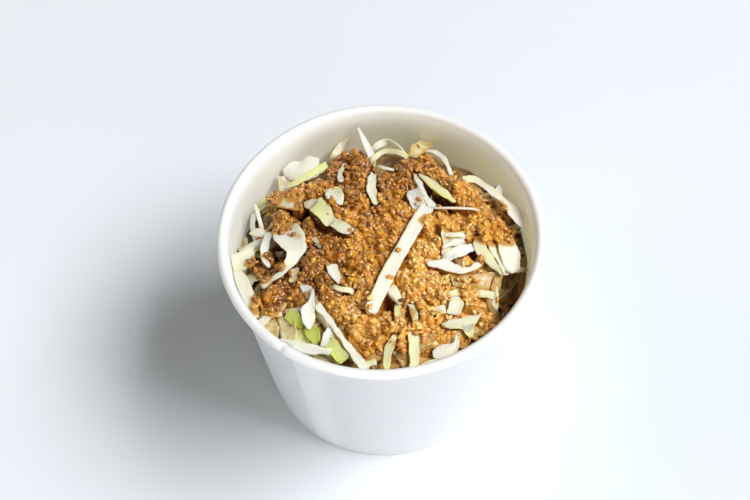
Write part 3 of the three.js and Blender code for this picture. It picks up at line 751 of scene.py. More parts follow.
        [(40.4, -1, 1.6), (41.4, -7, 2), (42.2, -12, 2), (42, -16.4, 2)]),
    "thick_right": sheet(1.6, (0.05, 0.1), [(39.6, -1, 2.6), (40.2, -7, 3.2), (41.2, -12, 3), (43.2, -15, 2)],
        [(46, -1.5, 2.2), (48.2, -6.6, 2.4), (47.8, -11.4, 2.2), (45.4, -15, 1.6)]),
    "back_band": sheet(LEAF, (0.3, 0.0),
        [(30.4, 27.4, 1), (35, 28, 2.4), (40, 22.8, 3.4), (45, 17.4, 4), (50.4, 10.8, 5), (51, 5, 5)],
        [(31.4, 25.4, 0.8), (35.2, 24.2, 1.6), (39.4, 19.4, 2.6), (44, 13.4, 3.6), (46.4, 7.2, 4.4),
         (49.4, 3.4, 4.6)]),
    "beige_band": sheet(LEAF, (0.1, 0.1), [(38, -15, 0.8), (44, -13, 1.4), (50, -10.8, 1.4)],
        [(39, -16.4, 0), (45, -14.4, 0.6), (51, -12.2, 0.8)], soak=0.5),
    "clear_strip": sheet(LEAF, (0.15, 0.2), [(22.5, -16.4, 0.4), (30, -16.6, 0.6), (38.6, -15.6, 0.8)],
        [(24, -22.4, 0.6), (30, -22.8, 0.8), (36, -22.8, 0.6)], soak=0.62),
    "olive_bit": sheet(LEAF, (0.7, 0.7),
        [(38.6, -15.6, 0.2), (36, -23.6, 0)], [(41.6, -15.6, 0), (39, -22.6, -0.6)], soak=0.7),
    "yellow_strip": sheet(LEAF, (0.4, 0.35),
        [(18.4, -26, 1.2), (25, -23.6, 1.8), (31, -23.2, 2.2), (36, -23.6, 2.4), (38.6, -24.5, 2.2)],
        [(20, -28.4, 1), (25, -26.2, 1.6), (31, -26.2, 2), (36, -26.4, 2.2), (38.5, -26.2, 2)]),
    "yellow_hook": sheet(0.7, (0.45, 0.3), [(38.4, -21.6, 3.4), (38, -25, 2.6), (36.6, -27.4, 1.6), (38, -29.6, 1)],
        [(38.9, -21.6, 3.4), (39.2, -25, 2.8), (39, -27.6, 1.8), (38.4, -29.8, 1)]),
    "right_bit": sheet(LEAF, (0.25, 0.2), [(22.4, -26.4, 1.6), (21.6, -29.5, 2), (20.8, -32.4, 1.2)],
        [(25.6, -26.2, 2), (27, -29, 2.4), (25, -33.2, 1.6)]),
    "right_clear": sheet(LEAF, (0.2, 0.2),
        [(14.6, -30.4, 1.4), (20.6, -29.4, 1.6)], [(15.6, -33.6, 1.4), (20.8, -32.8, 1.6)], soak=0.3),
    "pale_leaf": sheet(LEAF, (0.3, 0.35),
        [(18.6, -36, 1.4), (24, -34.7, 2.2), (28.5, -33.7, 2.6), (32.8, -32.7, 2.8)],
        [(19, -37.6, 1), (24, -38.2, 1.8), (28.4, -38.6, 2), (31, -35.2, 2.2)]),
    "pale_lobe": sheet(LEAF, (0.35, 0.55), [(25.4, -36.6, 1.8), (26.4, -39, 1.8), (28, -41, 1.4)],
        [(29.8, -35.6, 2.2), (29.5, -38.5, 2), (29.2, -40.6, 1.4)]),
    "front_green_a": sheet(LEAF, (0.5, 0.55), [(3, -29, 0.6), (3.2, -33.5, 1.2), (2.4, -39, 0.8)],
        [(5.4, -29, 1), (5.8, -33.5, 1.6), (5, -39, 1)]),
    "front_slot": sheet(LEAF, (0.15, 0.25), [(7.6, -29, 1), (8.8, -34, 1.8), (9, -38.5, 1)],
        [(10, -29, 1), (11, -34, 1.8), (11.2, -38.5, 1)]),
    "front_green_b": sheet(LEAF, (0.3, 0.5), [(7.4, -37.6, 1), (7.2, -43, 2), (7.3, -48, 2), (7, -52.4, 1)],
        [(10.8, -37.6, 1), (10.9, -43, 1.6), (10.6, -48, 1.6), (10.2, -52.4, 0.8)]),
    "front_green_c": sheet(LEAF, (0.35, 0.45),
        [(2.6, -40, 1.4), (-0.2, -44, 1.8), (-1.4, -48, 1.8), (-1.2, -52.4, 1)],
        [(4.2, -40.6, 1.6), (2.8, -44.5, 2.6), (1.6, -48, 2.6), (0.4, -52.4, 1.2)]),
    "front_bit": sheet(LEAF, (0.1, 0.1), [(15.2, -45.5, 1.2), (19, -43.8, 2), (22.4, -43.3, 2.4), (23.3, -40, 3)],
        [(15.4, -48.6, 1), (19, -48.6, 1.4), (23, -46.4, 1.8), (24.8, -42.6, 2.6)]),
    "front_bit_b": sheet(LEAF, (0.35, 0.3), [(10.6, -50.4, 0.8), (16, -48.6, 1.4), (20, -47.6, 0.8)],
        [(12, -52.6, 0.4), (17, -51, 0.8), (21, -49.6, 0.4)]),
    # a dark disc at the rolled shred's open end: painted shade of the hole
    "painted_hole_shade": sheet(0.6, (0.0, 0.0), [(4.6, -28.6, 3.3), (5.6, -28.2, 3.5), (6.6, -28.6, 3.3)],
        [(4.7, -29.3, 3.1), (5.6, -29.6, 3.1), (6.5, -29.3, 3.1)], soak=2.0),
    "rim_crumb": sheet(LEAF, (0.4, 0.4), [(-8, -49.4, 1), (-4, -48.4, 1.4)], [(-7, -51.2, 0.6), (-3.4, -50.4, 0.8)]),
}


def smooth_path(points, count):
    """A centripetal Catmull-Rom curve through the points, as that many places: knots are spaced by the
    square root of the chords, and each stretch is a cubic with the knots' slopes."""
    points = np.asarray(points, float)
    ends = 2 * points[[0, -1]] - points[[1, -2]]
    p = np.vstack([ends[:1], points, ends[1:]])
    chords = np.linalg.norm(np.diff(p, axis=0), axis=1)
    knots = np.concatenate([[0], np.cumsum(np.sqrt(chords))])
    t = np.linspace(knots[1], knots[-2], count)
    i = np.clip(np.searchsorted(knots, t, side="right") - 1, 1, len(p) - 3)

    def slope(a, b):
        return (p[b] - p[a]) / (knots[b] - knots[a])[:, None]

    span = (knots[i + 1] - knots[i])[:, None]
    leaving = (slope(i - 1, i) - slope(i - 1, i + 1) + slope(i, i + 1)) * span
    arriving = (slope(i, i + 1) - slope(i, i + 2) + slope(i + 1, i + 2)) * span
    s = (t - knots[i])[:, None] / span
    return (
        (2 * s ** 3 - 3 * s ** 2 + 1) * p[i] + (s ** 3 - 2 * s ** 2 + s) * leaving
        + (3 * s ** 2 - 2 * s ** 3) * p[i + 1] + (s ** 3 - s ** 2) * arriving
    )


def length_along(path):
    """How far along the path each of its places is."""
    return np.concatenate([[0], np.cumsum(np.linalg.norm(np.diff(path, axis=0), axis=1))])


def in_space(route):
    """A route of x, y, rise over the heap, as points."""
    return np.array([(x, y, heap_height(x, y) + rise) for x, y, rise in route])


def rooted(route, buried):
    """The route in space, run on and down into the heap at each buried end."""
    points = in_space(route)

    def root(end, after):
        foot = end[:2] + ROOT_RUN * unit(end[:2] - after[:2])
        return [[*foot, heap_height(*foot) - ROOT_DEPTH]]

    first = [] if buried == "end" else root(points[0], points[1])
    last = [] if buried == "start" else root(points[-1], points[-2])
    return np.concatenate([part for part in (first, points, last) if len(part)])


def inside_wall(points, clearance=WALL_CLEARANCE):
    """Points moved straight in towards the axis where they would be nearer the wall than that."""
    radius = np.hypot(points[..., 0], points[..., 1])
    limit = inner_radius(points[..., 2]) - clearance
    held = points.copy()
    held[..., :2] *= np.minimum(1, limit / np.maximum(radius, 1e-6))[..., None]
    return held


def wave(random, length, pace, height):
    """A sine wave along a length, from a random start."""
    return height * np.sin(pace * length + random.uniform(0, 6))


def shred_shape(piece, random, step=SHRED_STEP, ring=SHRED_RING):
    """A ribbon along its route: its half width is the given one, eased at the ends, and it rolls about
    the route evenly from one end to the other."""
    points = rooted(piece["route"], piece["buried"])
    path = smooth_path(points, max(8, int(length_along(points)[-1] / step)))
    ahead = unit(np.gradient(path, axis=0))
    length = length_along(path)
    along = length / length[-1]
    flat = unit(np.cross(ahead, UP))
    roll = np.radians(np.interp(along, (0, 1), piece["roll"]) + wave(random, length, 0.35, 7))
    across = flat * np.cos(roll)[:, None] + np.cross(ahead, flat) * np.sin(roll)[:, None]
    widths = np.atleast_1d(piece["wide"])
    wide = np.interp(along, np.linspace(0, 1, len(widths)), widths)
    wide = wide * (1 + wave(random, length, 0.5, 0.09))
    taper = 0.6 + 0.4 * np.minimum(1, 4 * np.minimum(along, 1 - along))
    slant = random.uniform(-0.9, 0.9)
    return ribbon(path, across * (0.5 * wide * taper)[:, None], slant, piece, random, ring)


def sheet_shape(piece, random):
    """A ribbon between its two edges, each a smooth curve with small waves along it."""
    left, right = in_space(piece["left"]), in_space(piece["right"])
    longest = max(length_along(left)[-1], length_along(right)[-1])
    count = max(8, int(longest / SHEET_STEP))
    left, right = smooth_path(left, count), smooth_path(right, count)
    path, half = (left + right) / 2, (right - left) / 2
    length = length_along(path)
    waves = wave(random, length, 1.1, 0.16) + wave(random, length, 2.9, 0.06)
    reach = np.linalg.norm(half, axis=1)
    limp = 1.0 if piece["thick"] < RIB else 0.3
    half = half * (1 + limp * waves / np.maximum(reach, 1.0))[:, None]
    return ribbon(path, half, 0.0, piece, random, SHEET_RING)


def ribbon(path, half, slant, piece, random, ring):
    """A closed flat bar along a path. Its section is rounded, reaches the half width to both sides, is
    dished, thinner towards its edges and bent up and down along them, and its ends can be aslant. The
    face side is turned upwards, and the section then runs the way that makes the faces point out."""
    ahead = unit(np.gradient(path, axis=0))
    length = length_along(path)
    along = length / length[-1]
    reach = np.maximum(np.linalg.norm(half, axis=1), 0.15)
    across = unit(half)
    face = unit(np.cross(across, ahead))
    face = face * np.where(face[:, 2] < 0, -1, 1)[:, None]
    turn = -np.sign(np.cross(across, ahead)[:, 2:3])

    from_end = np.minimum(length, length[-1] - length)
    blunt = np.sqrt(np.clip((from_end + 0.05) / (0.5 * piece["thick"]), 0, 1))
    reach = reach * (0.7 + 0.3 * blunt)
    angle = np.linspace(0, FULL_TURN, ring, endpoint=False)
    side = np.sign(np.cos(angle)) * np.abs(np.cos(angle)) ** 0.45
    rise = turn * np.sign(np.sin(angle)) * np.abs(np.sin(angle)) ** 0.55
    limp = 1.0 if piece["thick"] < RIB else RIB_LIMPNESS
    mean = 2 * reach.mean()
    long_wave = length[:, None] * random.uniform(0.3, 0.6) + random.uniform(0, 6) + 1.5 * side
    short_wave = length[:, None] * random.uniform(0.8, 1.3) + 3 * side
    frill = FRILL * limp * mean * np.sin(long_wave)
    buckle = BUCKLE * limp * mean * np.sin(short_wave)
    edge = np.abs(side) ** 2
    lift = DISH * reach[:, None] * (edge - 0.5) + frill * edge + buckle * edge
    thick = 0.5 * piece["thick"] * blunt[:, None] * (1 - THIN_EDGE * edge + 0.2 * random.uniform(-1, 1) * side)
    cut = slant * np.exp(-from_end / 3.0) * reach
    rings = (
        path[:, None] + across[:, None] * (reach[:, None] * side)[..., None]
        + face[:, None] * (lift + thick * rise)[..., None]
        + ahead[:, None] * (cut[:, None] * side)[..., None]
    )
    green = np.interp(along, (0, 1), piece["green"])[:, None] + random.uniform(-0.16, 0.16) * side + 0.14 * edge
    wet_edge = 0.4 * edge ** 3 * (dressing_part(rings[..., 0], rings[..., 1]) < 1.06)
    stain = np.maximum(stain_of(rings), piece["soak"]) + wet_edge
    rings = inside_wall(rings)
    poles = inside_wall(path[[0, -1]])
    return capped(
        rings, poles[0], poles[1],
        green=green, stain=stain, across=np.broadcast_to(side, green.shape),
        along=np.broadcast_to(length[:, None], green.shape), tone=np.full(green.shape, random.uniform(0, 1)),
    )


def stain_of(points):
    """How far the dressing has soaked in: strong 1 mm below its surface, fading upwards, and none
    outside its outline."""
    x, y, z = points[..., 0], points[..., 1], points[..., 2]
    above = z - dressing_height(x, y)
    soaked = np.exp(-np.clip(above + 1, 0, None) / 1.2) * (1 - smoothstep(0.95, 1.1, dressing_part(x, y)))
    return np.maximum(soaked, 1.1 * sprinkle_chance(x, y, 1.35))


# ---- Dressing ----

def dressing_part(x, y):
    """How far out a place is in the dressing: 0 in the middle, 1 on its ragged outline."""
    angle = np.arctan2(y, x)
    degrees = np.mod(np.degrees(angle), 360)
    at, radius = np.array([*DRESSING_EDGE, (360, DRESSING_EDGE[0][1])], float).T
    row = np.clip(np.searchsorted(at, degrees, side="right"), 1, len(at) - 1)
    eased = smoothstep(at[row - 1], at[row], degrees)
    reach = radius[row - 1] + (radius[row] - radius[row - 1]) * eased
    ragged = 1 + 0.025 * np.sin(11 * angle + 1) + 0.02 * np.sin(23 * angle)
    return np.hypot(x, y) / (reach * ragged)


def dressing_height(x, y):
    """The dressing's mean surface over the heap: lumps of two sizes, with a crevice wherever a third
    wave crosses zero, falling away at its outline and into the heap's gaps."""
    rise = DRESSING_RISE + DRESSING_LUMP * lumps(x, y, LUMP_PITCH) + DRESSING_BUMP * lumps(y + 4, x, BUMP_PITCH)
    crevice = CREVICE_DEPTH * np.exp(-(lumps(x - 3, y + 6, CREVICE_PITCH) / 0.22) ** 2)
    fall = DRESSING_EDGE_DROP * smoothstep(0.86, 1.02, dressing_part(x, y))
    return heap_height(x, y) + rise - crevice - fall - hollow_depth(x, y)


MAP_REACH = 58.0
EMPTY = -1e3  # level where nothing lies


class HeightMap:
    """The highest level of what lies at each place over the cup, on a square grid."""

    def __init__(self, step):
        self.step = step
        size = int(2 * MAP_REACH / step) + 1
        self.levels = np.full((size, size), EMPTY)

    def cells(self, x, y):
        """The row and column of the cell at each place."""
        last = len(self.levels) - 1
        column = np.clip(np.rint((x + MAP_REACH) / self.step).astype(int), 0, last)
        row = np.clip(np.rint((y + MAP_REACH) / self.step).astype(int), 0, last)
        return row, column

    def lay(self, x, y, z):
        """Raises the cells under the points to them."""
        np.maximum.at(self.levels, self.cells(x, y), z)

    def lay_domes(self, x, y, z, radius, fall):
        """A dome at each place: its level drops by fall times the square of distance over radius."""
        reach = int(radius / self.step)
        for row in range(-reach, reach + 1):
            for column in range(-reach, reach + 1):
                away = np.hypot(row, column) * self.step / radius
                if away <= 1:
                    self.lay(x + column * self.step, y + row * self.step, z - fall * away ** 2)

    def at(self, x, y):
        """The level at each place."""
        return self.levels[self.cells(x, y)]


def paste_shape(grains_map, cover):
    """A lumpy slab: its upper face clings up round the grains, dips under the shreds that lie on it,
    and runs over them where a clump of grains does."""
    under_rows, upper_rows = 12, 140
    turns = np.linspace(0, FULL_TURN, 560, endpoint=False)
    part = np.concatenate([np.linspace(0.05, 0.97, under_rows), np.linspace(0.99, 0.01, upper_rows)])
    upper = np.arange(len(part)) >= under_rows
    angle = np.broadcast_to(turns, (len(part), len(turns)))
    outline = 1 / dressing_part(np.cos(turns), np.sin(turns))
    radius = part[:, None] * outline
    x, y = radius * np.cos(angle), radius * np.sin(angle)
    level = dressing_height(x, y)
    high = np.maximum(level + 0.1, grains_map.at(x, y))
    over = cover.at(x, y)
    clump = sprinkle_chance(x, y, 0.85) > 0.7
    high = np.where((over > level - BURIED) & ~clump, np.minimum(high, over - 1.3), high)
    high = np.where(clump, np.maximum(high, over + 0.1), high)
    low = heap_height(x, y) - SLAB_DEPTH
    z = np.where(upper[:, None], high, low)
    z[under_rows] = low[under_rows] + 0.5
    # rise sets the paste's colour: lower is darker, down to the darkest in the deep gaps, which is painted shade; it
    # also follows the dressing's browner and paler patches
    rise = np.clip(0.25 + (z - level) / 2.4 - (toast_and_light_at(x, y) - 0.46), -0.4, 1)
    rings = inside_wall(np.stack([x, y, z], -1))
    return capped(rings, (0, 0, heap_height(0, 0) - SLAB_DEPTH), (0, 0, dressing_height(0, 0)), rise=rise)


# ---- Sesame grains ----

GRAIN_LENGTH = 3.1
GRAIN_WIDTH = 1.95
GRAIN_GROWTH = (0.68, 1.15)  # least and greatest size
GRAIN_PLUMPNESS = (0.42, 0.7)  # thickness for its width
GRAIN_TILT = 0.9
GRAIN_PITCH = 1.65
COAT_RADIUS, COAT_FALL = 1.6, 1.2  # how far round a grain the paste clings, and how far it falls there
CRUMB_PITCH = 1.5
CRUMB_TILT = 1.5
BURNT_SHARE = 0.1  # of the crumbs
BURNT_TOAST = 1.35
BED_RADIUS = 52.0  # how far from the axis grains are laid
JITTER = 0.33  # of the pitch


def grain_template():
    """A flat teardrop along X: radius sin(pi v) times 1 - 0.28 cos(pi v), on five sides."""
    v = np.linspace(0, 1, 6)[1:-1, None]
    turn = np.linspace(0, FULL_TURN, 5, endpoint=False)
    radius = np.sin(np.pi * v) * (1 - 0.28 * np.cos(np.pi * v))
    x = np.broadcast_to(0.5 - v, (4, 5))
    rings = np.stack([-x, 0.5 * radius * np.cos(turn), 0.5 * radius * np.sin(turn)], -1)
    return capped(rings, (-0.5, 0, 0), (0.5, 0, 0))


def crumb_template():
    """A broken bit of grain: two uneven rings of five points."""
    turn = np.linspace(0, FULL_TURN, 5, endpoint=False)
    radius = 0.5 + 0.12 * np.sin(3 * turn + np.array([[0.0], [2.0]]))
    x = np.broadcast_to(np.array([[-0.25], [0.2]]), radius.shape)
    return capped(np.stack([x, radius * np.cos(turn), radius * np.sin(turn)], -1), (-0.5, 0.1, 0), (0.45, 0, 0.1))


def turns_of(yaw, pitch, roll):
    """Rotation matrices: roll about X, then pitch about Y, then yaw about Z."""
    def matrices(rows):
        return np.moveaxis(np.array([[entry + 0 * yaw for entry in row] for row in rows]), -1, 0)

    about_z = matrices([[np.cos(yaw), -np.sin(yaw), 0], [np.sin(yaw), np.cos(yaw), 0], [0, 0, 1]])
    about_y = matrices([[np.cos(pitch), 0, np.sin(pitch)], [0, 1, 0], [-np.sin(pitch), 0, np.cos(pitch)]])
    about_x = matrices([[1, 0, 0], [0, np.cos(roll), -np.sin(roll)], [0, np.sin(roll), np.cos(roll)]])
    return about_z @ about_y @ about_x


def scattered(template, places, sizes, random, tilt, **marks):
    """Copies of the template at the places, each scaled, tilted by up to tilt and turned at random."""
    count = len(places)
    turns = turns_of(
        random.uniform(0, FULL_TURN, count), random.uniform(-tilt, tilt, count), random.uniform(-tilt, tilt, count))
    scaled = template.points[None] * sizes[:, None]
    points = np.einsum("nij,nkj->nki", turns, scaled) + places[:, None]
    size = len(template.points)
    shift = (np.arange(count) * size)[:, None, None]
    return Shape(inside_wall(points, 0.1), template.quads + shift, template.triangles + shift,
                 **{name: np.repeat(mark, size) for name, mark in marks.items()})


def lattice(pitch, random):
    """Places on a triangular lattice over the heap, each moved at random by up to a third of the pitch."""
    count = int(BED_RADIUS / pitch) + 1
    row, column = np.mgrid[-count:count + 1, -count:count + 1]
    x = pitch * (column + 0.5 * (row % 2)).ravel()
    y = pitch * 0.866 * row.ravel()
    x = x + random.uniform(-JITTER, JITTER, x.size) * pitch
    y = y + random.uniform(-JITTER, JITTER, y.size) * pitch
    near = np.hypot(x, y) < BED_RADIUS
    return x[near], y[near]


SPRINKLES = [  # where grains lie on shreds: x, y, radius of the patch, share of the places taken
    (-35, 6.5, 4, 0.75), (-35, -12, 1.6, 0.9), (-38, 21, 4, 0.95), (-31, 21, 3.6, 0.9),
    (-29, 14.5, 1.6, 0.8), (16.6, 3, 2.6, 0.9), (5.4, -9.7, 0.9, 0.69), (2.6, -20.4, 0.9, 0.69),
    (-5.2, -28.2, 1.1, 0.69), (-5.6, -31.4, 1, 0.69), (24, 1.5, 3.4, 0.9), (30, 0.5, 3, 0.8),
    (37.5, -0.5, 5, 0.97), (43, -1, 4, 0.97), (23, -5, 1.5, 0.5), (29, -25, 3.4, 0.97),
    (20, -27, 2.4, 0.9), (7.5, -33, 2.6, 0.7), (6, -36.5, 3, 0.8), (10, -38, 2.4, 0.9),
    (18, -39, 2.4, 0.9), (-42, -25, 4, 0.9), (-38, -28, 3, 0.8), (-17, 13.6, 1.6, 0.8),
    (-14, 8, 2, 0.9), (17, 37, 2, 0.6), (33, 21, 3, 0.9), (42, 12, 3.4, 0.9), (14, 12.6, 0.9, 1),
    (-19, -12, 1.6, 0.8), (3.5, 12, 2, 0.8), (2, -44, 1.4, 0.4), (17, -32, 2, 0.5), (34, -11, 1.8, 0.6),
    (27, -16, 1.2, 0.3), (-26, -24, 1.4, 0.5), (-15, -40, 1.4, 0.4), (40, -28, 2.4, 0.5),
    (-45, -7, 3, 0.7), (-41, -14.5, 3, 0.8), (-39, -5, 2, 0.6), (17, 45, 3, 0.2),
]


def sprinkle_chance(x, y, spread=1.0):
    """How likely a grain lies on a shred at a place: the share of the patch there, falling to 0 with
    the fourth power of the distance at its edge, with its radius spread that many times."""
    at_x, at_y, radius, share = np.array(SPRINKLES).T.reshape(4, -1, *[1] * np.ndim(x))
    away = np.hypot(x - at_x, y - at_y) / (spread * radius)
    return np.max(share * np.clip(1 - away ** 4, 0, 1), axis=0)


def grain_places(cover, random):
    """Places of the grains: a bed over the dressing, those on shreds, and a second layer in clumps."""
    x, y = lattice(GRAIN_PITCH, random)
    level, over = dressing_height(x, y), cover.at(x, y)
    inside = dressing_part(x, y) < 1.0 + 0.05 * random.normal(size=x.size)
    low = over < level + 2.5
    laid = random.uniform(0, 1, x.size) < np.maximum(sprinkle_chance(x, y), 0.015 * inside * low)
    keep = (inside & (over < level - BURIED) & (hollow_depth(x, y) < 3.2)) | laid
    bed = np.stack([x, y, np.maximum(level, over) + random.uniform(0.0, 0.9, x.size)], -1)[keep]

    x, y = lattice(1.08 * GRAIN_PITCH, random)
    level, over = dressing_height(x, y), cover.at(x, y)
    clump = lumps(x - 7, y + 5, 9.0) + random.normal(0, 0.35, x.size) > 0.0
    open_bed = (dressing_part(x, y) < 0.97) & (over < level - BURIED) & (hollow_depth(x, y) < 1.5)
    keep = (open_bed & clump) | ((sprinkle_chance(x, y) > 0.7) & (random.uniform(0, 1, x.size) < 0.6))
    second = np.stack([x, y, np.maximum(level, over) + random.uniform(1.1, 1.9, x.size)], -1)[keep]
    return np.concatenate([bed, second])


TOAST_AND_LIGHT_PATCHES = [  # browner (or, below 0, paler) patches of the dressing, where the browning at the left is painted shade and the paling at the lower right is painted light: x, y, radius, shift
    (-28, -12, 15, 0.62), (36, 14, 12, -0.06), (24, -30, 17, -0.5), (18, -8, 10, -0.36), (4, 26, 13, 0.24),
    (-4, 40, 12, 0.24), (-26, 26, 12, 0.05), (-6, -30, 11, -0.44), (24, 3, 5, -0.25),
]


def toast_and_light_at(x, y):
    """How brown the dressing is: waves, the shifts of its patches (painted shade at the left, painted light at the
    lower right), and the deeper gaps browner as painted shade.
    """
    return 0.45 + 0.1 * lumps(x, y + 9, 23.0) + spread_round(TOAST_AND_LIGHT_PATCHES, x, y) + 0.1 * hollow_depth(x, y)


def dullness_and_shade_at(x, y):
    """How greyish the dressing is: patches, more so at the left and back than at the right and front. The drift to
    the left and back is painted shade, and the least grey parts at the right and front, which turn golden, are
    painted light.
    """
    return 0.48 + 0.3 * lumps(x + 5, y - 3, 11.0) + 0.004 * (y - x)


def sesame_shapes(cover, random):
    """The whole grains, the crumbs between and on them, and the map of how high they reach."""
    places = grain_places(cover, random)
    count = len(places)
    growth = random.uniform(*GRAIN_GROWTH, count)[:, None]
    plump = random.uniform(*GRAIN_PLUMPNESS, count)
    sizes = growth * np.stack([np.full(count, GRAIN_LENGTH), np.full(count, GRAIN_WIDTH), plump * GRAIN_WIDTH], -1)
    toast = np.clip(toast_and_light_at(places[:, 0], places[:, 1]) + random.normal(0, 0.17, count), 0.02, 0.95)
    dull = dullness_and_shade_at(places[:, 0], places[:, 1]) + random.normal(0, 0.22, count)
    grains = scattered(grain_template(), places, sizes, random, GRAIN_TILT, toast=toast, dull=dull)

    tops = HeightMap(0.3)
    coat = random.uniform(-0.5, 0.5, count)
    tops.lay_domes(places[:, 0], places[:, 1], places[:, 2] + coat, COAT_RADIUS, COAT_FALL)

    x, y = lattice(CRUMB_PITCH, random)
    keep = (dressing_part(x, y) < 1.0) & (cover.at(x, y) < dressing_height(x, y) - BURIED)
    x, y = x[keep], y[keep]
    high = random.uniform(0, 1, x.size) < 0.35
    bed = dressing_height(x, y) + 0.5
    level = np.where(high, np.maximum(tops.at(x, y), bed), bed) + random.uniform(0.0, 0.3, x.size)
    burnt = random.uniform(0, 1, x.size) < BURNT_SHARE
    across = np.where(burnt, random.uniform(0.35, 0.6, x.size), random.uniform(0.5, 1.1, x.size))
    toasted = np.clip(toast_and_light_at(x, y) + random.normal(0, 0.2, x.size), 0.0, 0.95)
    toast = np.where(burnt, BURNT_TOAST, toasted)
    dull = dullness_and_shade_at(x, y) + random.normal(0, 0.25, x.size)
    sizes = across[:, None] * np.array([[1.2, 0.9, 0.7]])
    crumbs = scattered(
        crumb_template(), np.stack([x, y, level], -1), sizes, random, CRUMB_TILT, toast=toast, dull=dull)
    return grains, crumbs, tops


# ---- Loose shreds that fill the heap between the large ones ----

FILLERS = 240
FILLER_REACH = 50.5
FILLER_STEP, FILLER_RING = 1.6, 10
FILLER_BACK_DROP = 5.0  # how much lower they lie at the back
LEAFY_SHARE = 0.3


def filler(random):
    """A short shred at a random place, nearer the wall than the middle, curved, and low in the heap."""
    angle = random.uniform(0, FULL_TURN)
    radius = 51 * random.uniform(0.25, 1) ** 0.5
    heading = random.uniform(0, FULL_TURN)
    length = random.uniform(9, 24)
    bend = random.uniform(-0.9, 0.9)
    start = np.array([radius * np.cos(angle), radius * np.sin(angle)])
    steps = np.linspace(-0.5, 0.5, 4)
    x = start[0] + length * steps * np.cos(heading + bend * steps)
    y = start[1] + length * steps * np.sin(heading + bend * steps)
    held = np.minimum(1, FILLER_REACH / np.hypot(x, y))
    rise = random.uniform(-2.6, -0.2) + np.array([-0.8, 0.3, 0.3, -0.8])
    rise = rise - 1.6 * hollow_depth(x * held, y * held) - FILLER_BACK_DROP * smoothstep(15, 38, start[1])
    leafy = random.uniform(0, 1) < LEAFY_SHARE
    green = random.uniform(0.25, 0.8) if leafy else random.uniform(0.0, 0.2)
    route = list(zip(x * held, y * held, rise))
    roll = (random.uniform(-40, 40), random.uniform(-40, 40))
    wide = random.uniform(1.8, 5.0)
    # The soak browns the filler: partly the juice it lies in, partly painted shade deep in the heap; less at the
    # left.
    soak = random.uniform(0.45, 0.8) - 0.3 * smoothstep(-22, -38, start[0])
    return shred(wide, LEAF, roll, "both", (green, green + random.uniform(-0.15, 0.2)), *route, soak=soak)


def fills_a_hollow(shape):
    """Whether some of the shape lies high in one of the heap's dark gaps."""
    x, y, z = shape.points.T
    return np.any((hollow_depth(x, y) > 2.5) & (z > heap_height(x, y) - 4))


# ---- Assembly ----

def add_salad():
    """The heap from the inside out: core, shreds, dressing, grains and crumbs."""
    random = np.random.default_rng(20)
    leaf = cabbage()
    sheets = [(row["thick"], sheet_shape(row, random)) for row in SHEETS.values()]
    shreds = [(row["thick"], shred_shape(row, random)) for row in SHREDS.values()]
    rib_shapes = [shape for thick, shape in sheets + shreds if thick > LEAF]
    leaf_shapes = [shape for thick, shape in sheets + shreds if thick <= LEAF]
    fillers = [shred_shape(filler(random), random, FILLER_STEP, FILLER_RING) for _ in range(FILLERS)]
    fillers = [shape for shape in fillers if not fills_a_hollow(shape)]

    cover = HeightMap(0.5)
    for shape in rib_shapes + leaf_shapes:
        cover.lay_domes(*shape.points.T, 0.5, 0.0)
    grains, crumbs, tops = sesame_shapes(cover, random)

    add_piece("core_in_painted_shade", core_shape(), core_in_painted_shade(), "cabbage_salad")
    shredded = {"cabbage_ribs": rib_shapes, "cabbage_leaves": leaf_shapes, "cabbage_fillers": fillers}
    for name, shapes in shredded.items():
        add_piece(name, joined(shapes), leaf, "cabbage_salad")
    seeds = sesame()
    add_piece("dressing_paste", paste_shape(tops, cover), dressing_paste(), "sesame_dressing")
    add_piece("sesame_grains", grains, seeds, "sesame_dressing")
    add_piece("sesame_crumbs", crumbs, seeds, "sesame_dressing")


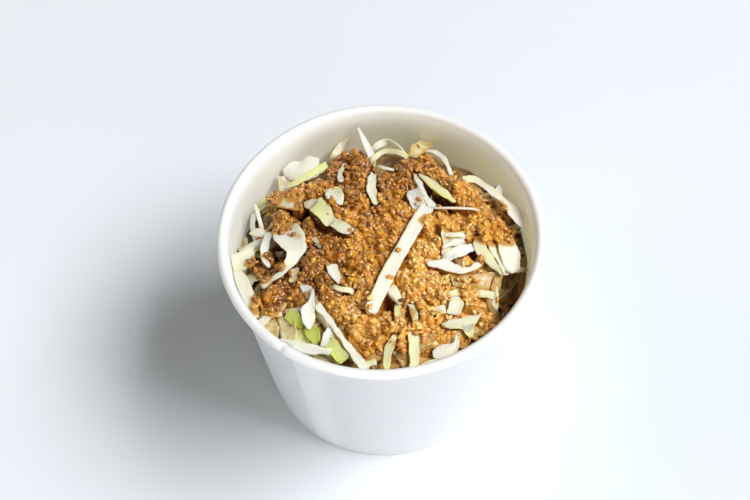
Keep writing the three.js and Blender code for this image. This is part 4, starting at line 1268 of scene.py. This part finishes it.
def add_cup():
    """The paper cup: its wall and its floor."""
    paper = white_paper()
    add_piece("cup_wall", cup_wall(), paper, "tub_wall")
    add_piece("cup_floor", cup_floor(), paper, "tub_floor")


# ---- Ground and light ----

def add_ground():
    """A wide flat ground under the cup."""
    size = 3.0
    mesh = bpy.data.meshes.new("ground")
    corners = [(-size, -size, 0), (size, -size, 0), (size, size, 0), (-size, size, 0)]
    mesh.from_pydata(corners, [], [(0, 1, 2, 3)])
    mesh.materials.append(pale_ground())
    ground = bpy.data.objects.new("ground", mesh)
    bpy.context.scene.collection.objects.link(ground)


def add_softbox(name, azimuth, elevation, distance, size, power, colour=(1.0, 1.0, 1.0)):
    """An oblong soft light that faces the cup, from an azimuth measured from +X towards +Y."""
    data = bpy.data.lights.new(name, "AREA")
    data.color = colour
    data.shape = "RECTANGLE"
    data.size, data.size_y = size
    data.energy = power
    light = bpy.data.objects.new(name, data)
    bpy.context.scene.collection.objects.link(light)
    around, above = np.radians(azimuth), np.radians(elevation)
    towards = Vector((np.cos(around) * np.cos(above), np.sin(around) * np.cos(above), np.sin(above)))
    light.location = towards * distance + Vector((0, 0, 0.05))
    light.rotation_euler = towards.to_track_quat("Z", "Y").to_euler()


def add_light():
    """A soft key light from the right, weaker ones from the front and the back left, and an even sky."""
    add_softbox("key", azimuth=-7, elevation=54, distance=6.0, size=(4.2, 2.8), power=450.0)
    add_softbox(
        "front_fill", azimuth=-75, elevation=9, distance=3.5, size=(5.4, 1.0), power=98.0, colour=(1.0, 0.97, 0.92))
    add_softbox(
        "back_fill", azimuth=170, elevation=36, distance=3.5, size=(2.2, 2.2), power=22.0, colour=(1.0, 0.93, 0.82))
    world = bpy.data.worlds.new("sky")
    world.use_nodes = True
    background = world.node_tree.nodes["Background"]
    background.inputs["Color"].default_value = (1.0, 0.97, 0.9, 1.0)
    background.inputs["Strength"].default_value = 0.03
    bpy.context.scene.world = world
    bpy.context.scene.view_settings.view_transform = "Standard"


add_cup()
add_salad()
add_ground()
add_light()
